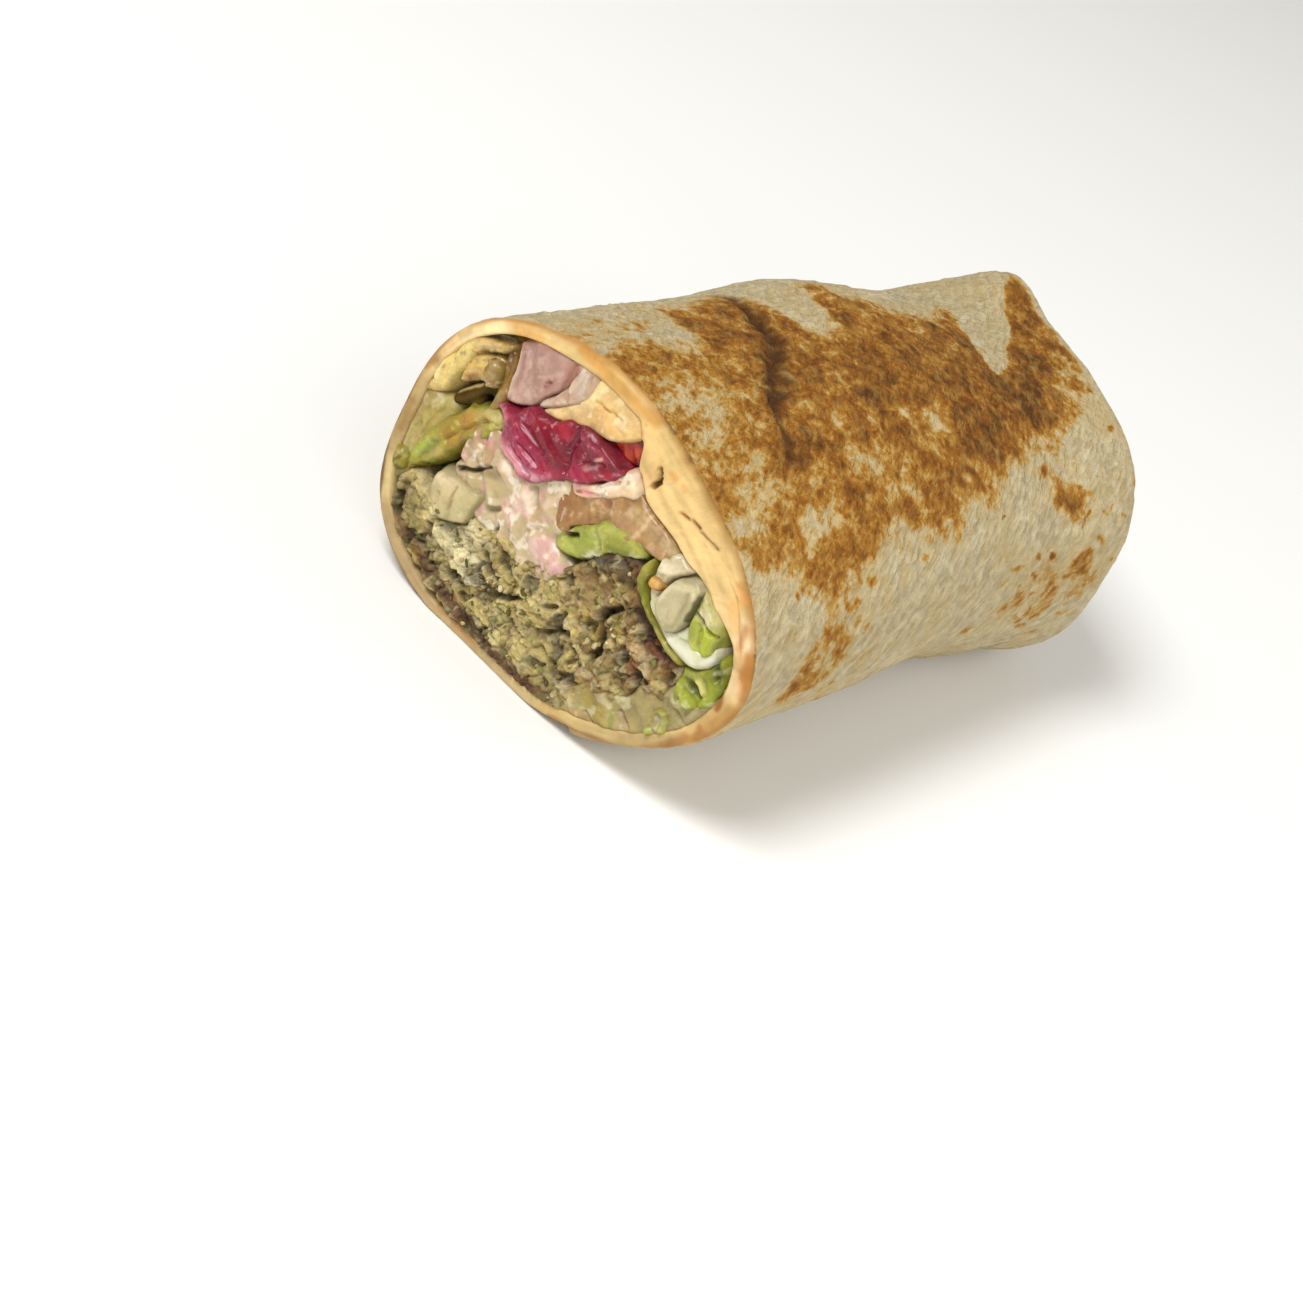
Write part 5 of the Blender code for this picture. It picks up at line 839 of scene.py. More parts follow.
        "outline": [(7.0, 25), (4, 25), (0.8, 24.6), (-2.4, 23.8), (-4.2, 21.9), (-2.8, 20.1), (-1.0, 18.7), (1, 17.6), (5, 16.8), (8.6, 15.2), (12.4, 13.8), (14.2, 13.6), (12.6, 15.6), (10, 18), (7.9, 20.6)],
        "ripple": [(5.0, 1.6, 20, 0.3), (1.0, 0.8, 0, 0.07)],
        "strokes": [(5.8, 23.8, 6.6, 21.8, 0.9, "#e3cf9b", 0.8), (7.6, 19.8, 10.8, 16.6, 1.1, "#e1c691", 0.7), (4, 19.4, 1.4, 19.6, 1.3, "#d9af6b", 0.7), (2.6, 23, -1.4, 22.2, 0.9, "#e1c182", 0.7), (5.4, 20.6, 3.6, 21.4, 0.5, "#cd9d5b", 0.6), (11.4, 15.9, 13.4, 14.6, 0.6, "#daba8d", 0.7), (0.6, 21.4, -1.4, 20.6, 0.5, "#cd9e60", 0.6)],
        "relief": [(5.8, 21.4, 0.4, 21.8, 0.35, -0.45), (8.6, 19.2, 12.4, 15.6, 0.35, -0.35), (3.6, 19, 0.6, 19.6, 1.2, 0.3)],
    },
    "tomato_scrap": {
        "material": "tomato", "slot": "tomato_deep", "colour": "#ae381c", "front": -1.0, "round": 0.5, "drop": 1.2, "ragged": 0.1, "mottle": [("#c8553a", 0.9, 0.25, 0.6)],
        "outline": [(1.2, 18.2), (-1, 19.6), (-2.4, 21), (-3.6, 22.2), (-5.0, 21.2), (-5.2, 19), (-5.4, 17.4), (-3.4, 16.8), (-1, 17.2)],
        "ripple": [(1.6, 0.9, 60, 0.2)],
        "strokes": [(-3.4, 21.4, -4.2, 20.6, 0.7, "#5a140c", 0.9), (-1.4, 18.6, -3.4, 18.6, 0.7, "#a63a24", 0.8), (-4.6, 18, -5, 17.4, 0.5, "#4a1510", 0.8)],
        "relief": [],
    },
    "turnip_pickle": {
        "material": "turnip", "slot": "turnip", "colour": "#991f3b", "front": 0.9, "round": 0.8, "drop": 1.4, "ragged": 0.55,
        "outline": [(21.4, 10.2), (19.6, 11.1), (17.4, 11.9), (15.4, 13.8), (13, 14.4), (10.6, 14.7), (8.4, 16.2), (5.2, 17.4), (2.4, 17.6), (0, 17.3), (-2.6, 16.9), (-5.2, 16.2), (-4.6, 14.9), (-3.2, 13.2), (-1.2, 11.3), (0.8, 9.6), (3, 8.7), (5.2, 7.3), (6.6, 5.6), (8.2, 4.2), (10, 3.4), (12.4, 3.7), (14.6, 4.4), (16.6, 4.7), (17.6, 6.2), (18.4, 8), (19.4, 9.4)],
        "ripple": [(5.0, 1.5, 24, 0.4), (1.6, 0.6, 24, 0.14)],
        "strokes": [
            (11.5, 12.6, 6.2, 11.6, 2.3, "#890e26", 0.9), (9.6, 13.2, 7.4, 12.6, 1.3, "#86091c", 0.8), (15, 9.6, 11, 8.4, 2.0, "#971c41", 0.8), (17.6, 10.2, 14.8, 11.2, 1.0, "#a52448", 0.7), (4.6, 16.8, -2.6, 17.4, 1.3, "#862637", 0.85), (2.4, 14.6, -1, 14.6, 1.6, "#881f31", 0.8),
            (1.4, 12.6, -0.4, 13.8, 0.5, "#daa09e", 0.75), (0.2, 14.6, -0.6, 15.6, 0.35, "#e1b7ae", 0.7), (-1.6, 14.4, -4.0, 16.6, 0.8, "#711925", 0.7), (3.6, 10.4, 0.8, 10.8, 0.9, "#a33048", 0.7),
            (16.6, 5.6, 13.6, 4.8, 0.9, "#d8a09a", 0.85), (12.6, 4.6, 9.6, 4.0, 0.8, "#d0848d", 0.8), (14.4, 7, 9.4, 5.8, 1.5, "#ac3e5c", 0.8), (7.8, 5.6, 6.2, 7, 0.8, "#b96578", 0.8), (20.6, 10.2, 18.4, 9.2, 0.9, "#ca7d87", 0.8), (18, 7.2, 17.2, 5.4, 0.6, "#d5a096", 0.8),
            (5.4, 7.8, 3.4, 8.9, 0.5, "#892e3c", 0.6),
            (16.4, 11.6, 12, 10.8, 1.7, "#8a0c30", 0.8), (11, 11.2, 6, 10.8, 2.1, "#7b081e", 0.85), (5, 13.4, 1, 14, 1.4, "#6a1524", 0.8), (20, 9.8, 17, 7.2, 0.6, "#c8707f", 0.45), (12.5, 4.9, 8, 5.2, 0.6, "#e0a3ac", 0.8),
        ],
        "relief": [(6, 17.2, 4.2, 9.8, 0.6, -0.6), (12, 12.8, 7, 12, 2.0, 0.7), (0.6, 16.6, -3.4, 16.4, 1.0, 0.4), (14, 8, 9, 7.2, 0.35, -0.5), (15.6, 6.4, 9.6, 5.0, 0.35, -0.4), (16, 11, 9, 9.8, 0.4, -0.35), (2.6, 12.6, -1.6, 14.8, 0.3, -0.4)],
    },
    "tomato_wedge": {
        "material": "tomato", "slot": "tomato", "colour": "#9e7540", "front": 0.2, "round": 0.7, "drop": 1.1, "ragged": 0.15,
        "outline": [(3.8, 8.2), (3.6, 5.2), (1.8, 1.0), (-1.4, 1.6), (-4, 3.4), (-7, 5.6), (-10.2, 7.2), (-13.6, 8), (-17.4, 8.6), (-19.8, 10), (-18.8, 12.2), (-15, 13.4), (-11, 14.4), (-7.4, 14.8), (-4.4, 12.6), (-1, 9.6)],
        "ripple": [(3.6, 1.3, 100, 0.3), (1.0, 0.5, 100, 0.06)],
        "strokes": [
            (3, 6.6, 1.6, 2.6, 1.4, "#9d6d3b", 0.85), (1.4, 6.4, -1.4, 4.8, 1.8, "#9b6d3c", 0.8), (-1.4, 7.4, -4, 5.6, 1.6, "#a67c48", 0.7), (-6, 9.6, -9.6, 9.2, 1.8, "#b18a5e", 0.7), (-5.4, 8, -8.8, 8, 0.9, "#a27d48", 0.7),
            (-9.4, 12.2, -17, 12, 1.2, "#bf9f6e", 0.85), (-11, 10.6, -16.4, 10.2, 1.2, "#b7915e", 0.8), (-15.4, 11.8, -18.4, 11.4, 0.8, "#b5a773", 0.7), (-3.4, 9.8, -5.4, 11.6, 0.9, "#af7954", 0.7), (3.4, 8, 2.4, 6.6, 0.6, "#89572b", 0.6),
            # the black strokes #1b180d, #231f13 and #322915 lie in the deep gaps: painted shade
            (-1.5, 2.4, -5.0, 5.2, 0.55, "#1b180d", 1.0), (-1.5, 2.4, -3.4, 3.4, 0.85, "#231f13", 0.85), (-6.4, 5.9, -7.8, 6.6, 0.35, "#322915", 0.85), (-8.8, 7.4, -9.8, 8.2, 0.3, "#524623", 0.6),
            (-1.6, 8.8, -3.6, 5.2, 0.35, "#8f5632", 0.7), (-12.4, 13.4, -11.4, 8.4, 0.35, "#d8b98c", 0.7), (-15.4, 12.6, -14.6, 9.2, 0.35, "#a06e48", 0.6), (1.6, 7.6, 0.2, 3, 0.3, "#8a5230", 0.6),
        ],
        "relief": [(-1.6, 2.4, -4.8, 5.2, 0.6, -2.2), (-6.4, 5.9, -7.8, 6.6, 0.4, -1.2), (-4.6, 10.4, -6, 6.8, 0.5, -0.5), (0.8, 7.6, -0.6, 2.4, 0.3, -0.3), (2.2, 8, 1.4, 2, 0.3, -0.25), (-10, 13, -17, 12.4, 0.9, 0.35)],
    },
    "lettuce_fold": {
        "material": "lettuce", "slot": "lettuce", "colour": "#9c9c41", "front": 0.3, "round": 0.35, "drop": 0.55, "ragged": 0.5,
        "spine": [(0.2, -1.0, 0.7), (-1.6, 0.4, 1.9), (-4.4, 2.6, 2.6), (-7.4, 5.6, 2.5), (-9.8, 7.0, 1.9), (-12.6, 7.5, 1.5), (-14.8, 7.7, 0.8)],
        "ripple": [(3.0, 1.6, 40, 0.16), (1.4, 0.6, -60, 0.1)],
        "strokes": [
            (-5.6, 0.8, -7.4, 2.6, 0.5, "#d9d6b6", 0.7), (-12.4, 6.4, -14.4, 7.2, 0.5, "#7c7d2c", 0.7),
            # 4a4224 in the deep hole is painted shade; #d2cf8c and #c9c873 along the raised fold are painted highlights
            (-1.2, 1.5, -2.6, 2.5, 0.45, "#4a4224", 0.9), (-7.6, 4.2, -7.0, 6.0, 0.3, "#d2cf8c", 0.6),
            (-0.6, -0.4, -2.8, 0.4, 1.0, "#b0b253", 0.85), (-3, 1.4, -5.8, 4.2, 1.0, "#9aa144", 0.8), (-4.8, 5.2, -8, 8, 0.6, "#b5b65d", 0.8), (-9.4, 8, -13.6, 7.8, 0.6, "#b3ab4d", 0.8), (-5.6, 6.0, -8.2, 3.2, 0.35, "#c9c873", 0.75), (-8.6, 5, -12.6, 6.4, 0.55, "#747625", 0.8),
            (-2.4, -1.2, -4.4, -0.8, 0.7, "#899035", 0.7), (-7, 5, -9.8, 6.6, 0.7, "#95953b", 0.7),
        ],
        "relief": [(-1.2, 1.5, -2.6, 2.5, 0.42, -1.3), (-5.8, 6.4, -8.6, 3.4, 0.45, 0.4), (-5.2, 5.6, -7.8, 2.8, 0.3, -0.35)],
    },
    "lettuce_strip": {
        "material": "lettuce", "slot": "lettuce", "colour": "#867e27", "front": 1.1, "round": 0.5, "drop": 2.2, "ragged": 0.12,
        "spine": [(-16.2, 8.7, 0.7), (-16.4, 6.6, 1.1), (-16.6, 4.6, 0.9), (-18.4, 2.6, 0.6), (-21.6, 1.0, 0.55), (-25.6, -0.6, 0.7), (-29.6, -1.2, 0.7)],
        "ripple": [(3.0, 0.6, -30, 0.2)],
        "strokes": [(-16, 8.4, -16.6, 6.4, 0.6, "#a4993e", 0.8), (-16.8, 5.2, -19, 2.6, 0.4, "#909131", 0.8), (-23, 0.4, -28, -0.8, 0.5, "#a59742", 0.8), (-17.2, 4.2, -18.6, 2.2, 0.3, "#717224", 0.6)],
        "relief": [(-16.6, 8, -16.8, 5, 0.25, -0.3)],
    },
    "tahini_edge": {
        "material": "sauce", "slot": "tahini", "colour": "#d3c49f", "front": 0.5, "round": 0.7, "drop": 1.5, "ragged": 0.2, "mottle": [("#ece4cc", 1.3, 0.20, 0.6), ("#a99a72", 1.0, 0.32, 0.5)],
        "outline": [(-17.3, 8.8), (-17.6, 10.2), (-19, 11.8), (-21, 12.3), (-23.2, 12), (-22.6, 10.4), (-21, 8.6), (-20.2, 6.4), (-20.4, 3), (-18.4, 3.6), (-17.6, 6)],
        "ripple": [(2.0, 1.0, 60, 0.3)],
        "strokes": [(-18.6, 8.8, -19.8, 9.6, 0.9, "#e8dab8", 0.9), (-19, 4.6, -19.6, 3.6, 0.7, "#d2ba98", 0.8), (-21, 11.4, -22.6, 11.4, 0.8, "#c0b38e", 0.8), (-18, 10, -19.4, 10.8, 0.6, "#cbbb95", 0.7)],
        "relief": [(-18.4, 8.4, -20, 9.6, 0.8, 0.35)],
    },
    "carrot_shred": {
        "material": "carrot", "slot": "carrot", "colour": "#ca9548", "front": 1.2, "round": 0.6, "drop": 1.8, "ragged": 0.15,
        "outline": [(-17.5, 6.6), (-18.4, 7.1), (-19.8, 7.0), (-20.6, 6.2), (-20.0, 5.2), (-18.8, 4.8), (-17.6, 5.3)],
        "ripple": [(1.6, 0.5, 20, 0.15)],
        "strokes": [(-18.2, 6.4, -19.2, 6.4, 0.4, "#dcb267", 0.7), (-19.6, 5.6, -20.2, 6, 0.4, "#ac6f31", 0.7)],
        "relief": [],
    },
    "cucumber_dice": {
        "material": "cucumber", "slot": "cucumber", "colour": "#bfb288", "front": 1.5, "round": 0.45, "drop": 1.9, "ragged": 0.06,
        "outline": [(-20.5, 4.4), (-20.7, 6.6), (-21.4, 8.8), (-22.8, 10.1), (-24.4, 10.9), (-25.9, 11.2), (-26.7, 9.8), (-26.9, 7.4), (-26.8, 4.6), (-26.0, 2.4), (-24.4, 1.3), (-22.6, 1.9), (-21.2, 3)],
        "ripple": [(3.0, 1.6, 80, 0.12), (0.8, 0.5, 80, 0.04)],
        "strokes": [(-21.6, 8, -25.4, 10.8, 0.9, "#d5c89e", 0.85), (-23, 9.7, -25.6, 10.9, 0.4, "#a1976f", 0.6), (-22.4, 4, -23.4, 7.4, 1.6, "#bdb188", 0.7), (-25.2, 8.6, -25.8, 4.4, 0.7, "#a59b6f", 0.8), (-26.5, 9.4, -26.7, 5.2, 0.35, "#5a5732", 0.9), (-24.6, 2.4, -26, 3.4, 0.6, "#9f9568", 0.8), (-21.2, 5, -21.4, 7.6, 0.35, "#ded2ad", 0.7)],
        "relief": [(-21.6, 8.2, -25.6, 9.9, 0.3, -0.35), (-22.4, 9.6, -25.4, 11, 0.7, -0.5), (-24.9, 9, -25.4, 3.2, 0.25, -0.3)],
    },
    "lettuce_side": {
        "material": "lettuce", "slot": "lettuce", "colour": "#b5b357", "front": 0.9, "round": 0.9, "drop": 1.4, "ragged": 0.15,
        "outline": [(-26.5, 11.6), (-28.4, 10.9), (-30.6, 9.4), (-32, 7.4), (-33, 5), (-33, 3.2), (-31.6, 2), (-29.6, 1.8), (-28, 2.8), (-27, 4.4), (-26.6, 7)],
        "ripple": [(3.4, 0.9, 65, 0.4), (1.0, 0.5, 65, 0.08)],
        "strokes": [(-27.4, 9.6, -30.4, 8.4, 1.3, "#d2c98b", 0.85), (-28.4, 7.6, -29.6, 7, 0.9, "#e4d7b3", 0.8), (-30.6, 5.4, -31.4, 3.4, 1.4, "#a8b131", 0.9), (-28, 5.4, -28.6, 3.8, 0.9, "#959d3a", 0.8), (-32.4, 6, -32.8, 4.4, 0.5, "#7a812f", 0.7), (-26.8, 9, -26.9, 6.4, 0.5, "#72733a", 0.8)],
        "relief": [(-27.4, 7, -31.8, 6.2, 0.35, -0.8), (-29.4, 5.4, -30.2, 2.8, 0.3, -0.4), (-28.4, 9, -30, 8, 1.0, 0.4), (-31, 4.6, -31.4, 3.6, 0.9, 0.3)],
    },
    "tahini_pool": {
        "material": "sauce", "slot": "tahini", "colour": "#c9c7a4", "front": 0.8, "round": 0.7, "drop": 1.1, "ragged": 0.12, "mottle": [("#b9bb7c", 1.6, 0.34, 0.4)],
        "outline": [(-19.4, 4.4), (-20.8, 4.8), (-22, 3), (-24.4, 1.9), (-26, 3), (-27.4, 4.8), (-28.6, 3.6), (-30.4, 2.8), (-32, 3), (-32.9, 4.8), (-34, 3.4), (-33.4, 1.2), (-31.4, -0.5), (-28.4, -0.9), (-25, -0.1), (-21.6, 1.3), (-19.4, 2.8)],
        "ripple": [(3.0, 1.4, -15, 0.2)],
        "strokes": [(-25.4, 1, -30.6, 0.8, 0.9, "#dedac0", 0.9), (-32.4, 1.6, -33.2, 3.2, 0.6, "#e0dcc2", 0.9), (-21.4, 2.4, -23.6, 1.2, 0.6, "#ccc892", 0.7), (-30, 2, -31.6, 2.4, 0.6, "#d8d8b0", 0.7), (-20.4, 3.8, -21.4, 2.8, 0.5, "#c8bf87", 0.7)],
        "relief": [(-26, 0.8, -31.4, 0.8, 0.8, 0.3)],
    },
    "lettuce_clump": {
        "material": "lettuce", "slot": "lettuce", "colour": "#898b29", "front": 0.5, "round": 0.9, "drop": 1.4, "ragged": 0.25,
        "outline": [(-29.6, -1.2), (-31.6, -0.1), (-33.2, 1.6), (-34.2, 4), (-35.4, 4.2), (-36.4, 2), (-37.2, -0.4), (-36.8, -3.6), (-35.2, -5.4), (-33.2, -7), (-31.2, -7.2), (-29.9, -5.2), (-29.8, -3)],
        "ripple": [(2.4, 1.0, 60, 0.5), (0.8, 0.5, 30, 0.15)],
        # 454d11, #5d6716 and #666d1d lie in the hole and the groove: painted shade
        "strokes": [(-33.8, 2.6, -35.6, 1.8, 0.9, "#454d11", 0.9), (-34.4, 3.6, -35.4, 0.6, 0.6, "#5d6716", 0.8), (-31, -4.4, -34, -5.6, 1.3, "#9fa62e", 0.85), (-35.6, -0.6, -36.2, -3.6, 0.8, "#959d2b", 0.8), (-31, -1.4, -33.4, -0.6, 0.9, "#9a9747", 0.8), (-33.4, -1.6, -34.4, -2.4, 0.7, "#d9ca80", 0.8), (-31.8, -2.4, -33.6, -3.4, 0.6, "#666d1d", 0.8), (-36.2, 0.6, -36.9, -1.4, 0.4, "#788721", 0.7)],
        "relief": [(-34, 3, -35.6, 1, 0.6, -1.2), (-31.4, -2.8, -34.6, -3.2, 0.4, -0.8), (-33.2, -1.4, -34.6, -2.4, 0.6, 0.5), (-31.4, -5, -34, -5.6, 1.0, 0.4)],
    },
    "lettuce_curl": {
        "material": "lettuce", "slot": "lettuce", "colour": "#a29846", "front": 0.7, "round": 0.7, "drop": 1.8, "ragged": 0.15,
        "outline": [(-28.9, -12.8), (-28.9, -10.8), (-29.6, -9.6), (-31, -9.2), (-32.2, -10.2), (-32.6, -12), (-32, -14), (-30.6, -14.9), (-29.2, -14.4)],
        "ripple": [(2.0, 0.7, 80, 0.2)],
        "strokes": [(-30.4, -11.2, -30.8, -13, 0.7, "#beab82", 0.85), (-32, -10.4, -32.2, -13.4, 0.45, "#bcc063", 0.8), (-29.3, -13.6, -31, -14.5, 0.5, "#afb64f", 0.8), (-29.2, -10.4, -29.2, -12.6, 0.4, "#9f9e4c", 0.7)],
        "relief": [(-30.4, -11, -30.8, -13.2, 0.75, -0.8)],
    },
}


def closedCurve(corners, spacing):
    # a smooth closed line through the corners, as evenly spaced points
    corners = np.array(corners, float) * drawnScale
    share = np.linspace(0, 1, 12, endpoint=False)[:, None]
    line = []
    for i in range(len(corners)):
        a, b, c, d = (corners[(i + k) % len(corners)] for k in (-1, 0, 1, 2))
        leave, arrive = (c - a) * 0.42, (d - b) * 0.42
        line.append(b * (2 * share ** 3 - 3 * share ** 2 + 1) + leave * (share ** 3 - 2 * share ** 2 + share)
                    + c * (3 * share ** 2 - 2 * share ** 3) + arrive * (share ** 3 - share ** 2))
    line = np.concatenate(line)
    lengths = np.linalg.norm(np.roll(line, -1, axis=0) - line, axis=1)
    total = np.concatenate([[0], np.cumsum(lengths)])
    count = max(24, int(round(total[-1] / spacing)))
    wanted = np.linspace(0, total[-1], count, endpoint=False)
    closed = np.concatenate([line, line[:1]])
    line = np.stack([np.interp(wanted, total, closed[:, k]) for k in (0, 1)], axis=1)
    area = (line[:, 0] * np.roll(line[:, 1], -1) - np.roll(line[:, 0], -1) * line[:, 1]).sum()
    return line if area > 0 else line[::-1]


def spineCurve(spine, spacing):
    # both sides of a leaf seen edge-on, and the point of its middle line that each belongs to
    spine = np.array(spine, float) * drawnScale
    share = np.linspace(0, 1, 14, endpoint=False)[:, None]
    line = []
    for i in range(len(spine) - 1):
        a, b, c, d = spine[max(i - 1, 0)], spine[i], spine[i + 1], spine[min(i + 2, len(spine) - 1)]
        leave, arrive = (c - a) * 0.45, (d - b) * 0.45
        line.append(b * (2 * share ** 3 - 3 * share ** 2 + 1) + leave * (share ** 3 - 2 * share ** 2 + share)
                    + c * (3 * share ** 2 - 2 * share ** 3) + arrive * (share ** 3 - share ** 2))
    line = np.concatenate(line + [spine[-1:]])
    total = np.concatenate([[0], np.cumsum(np.linalg.norm(np.diff(line[:, :2], axis=0), axis=1))])
    count = max(16, int(round(total[-1] / spacing)))
    wanted = np.linspace(0, total[-1], count)
    line = np.stack([np.interp(wanted, total, line[:, k]) for k in range(3)], axis=1)
    slope = np.gradient(line[:, :2], axis=0)
    slope /= np.linalg.norm(slope, axis=1, keepdims=True)
    across = np.stack([-slope[:, 1], slope[:, 0]], axis=1)
    place = wanted / total[-1]
    half = (line[:, 2] * np.clip(1 - (2 * place - 1) ** 12, 0.04, 1) ** 0.5)[:, None]
    left, right = line[:, :2] + across * half, line[:, :2] - across * half
    outline = np.concatenate([right, left[::-1]])
    middle = np.concatenate([line[:, :2], line[::-1, :2]])
    core = list(range(count)) + list(range(count))[::-1]
    return outline, middle, core, line[:, :2]


def edgeDistance(points, outline):
    # distance from each point to a closed outline
    best = np.full(len(points), 1e9)
    ends = np.roll(outline, -1, axis=0)
    for (y1, z1), (y2, z2) in zip(outline, ends):
        dy, dz = y2 - y1, z2 - z1
        t = np.clip(((points[:, 0] - y1) * dy + (points[:, 1] - z1) * dz) / max(dy * dy + dz * dz, 1e-9), 0, 1)
        best = np.minimum(best, (points[:, 0] - y1 - t * dy) ** 2 + (points[:, 1] - z1 - t * dz) ** 2)
    return np.sqrt(best)


def keepInside(y, z, station, margin):
    # holds points within the bread's hollow, give or take a margin
    radius, angle = np.hypot(y, z), np.degrees(np.arctan2(z, y))
    limit = hollowRadius(station, angle) + margin
    scale = np.minimum(1.0, limit / np.maximum(radius, 1e-6))
    return y * scale, z * scale


cutFronts = {}             # where each filling's front lies, for the crumbs

# broken patches of another colour on each food: colour, size in mm, how rare, strength
mottles = {
    "sauce": [("#ece0ca", 1.6, 0.10, 0.7), ("#d9a29a", 2.2, 0.22, 0.6), ("#a58e60", 1.2, 0.26, 0.65)],
    "hummus": [("#c9c09a", 2.0, 0.22, 0.6), ("#8c8a4c", 1.5, 0.32, 0.5), ("#7c6c40", 0.9, 0.38, 0.45)],
    "falafel": [("#cabd8e", 1.1, 0.26, 0.5), ("#4a4226", 0.8, 0.34, 0.6), ("#7c7c48", 1.3, 0.34, 0.45)],
    "lettuce": [("#cfd19a", 1.2, 0.26, 0.55), ("#6f7726", 1.5, 0.30, 0.5)],
    "tomato": [("#cfae86", 1.3, 0.24, 0.55), ("#925f38", 1.1, 0.32, 0.5)],
    # the turnip's pale pink patches #cc8690 are painted glints (painted highlight)
    "turnip": [("#cc8690", 0.8, 0.30, 0.6), ("#6c0c20", 1.8, 0.24, 0.5)],
    "onion": [("#d0b0a3", 1.6, 0.24, 0.4), ("#9c6e60", 1.1, 0.34, 0.4)],
    "cucumber": [("#ddd2aa", 1.3, 0.28, 0.45), ("#a19468", 0.9, 0.36, 0.4)],
    "pickle": [("#dcc384", 0.9, 0.28, 0.5), ("#5a4118", 1.0, 0.30, 0.55)],
    "carrot": [("#ddb476", 0.6, 0.3, 0.5)],
}


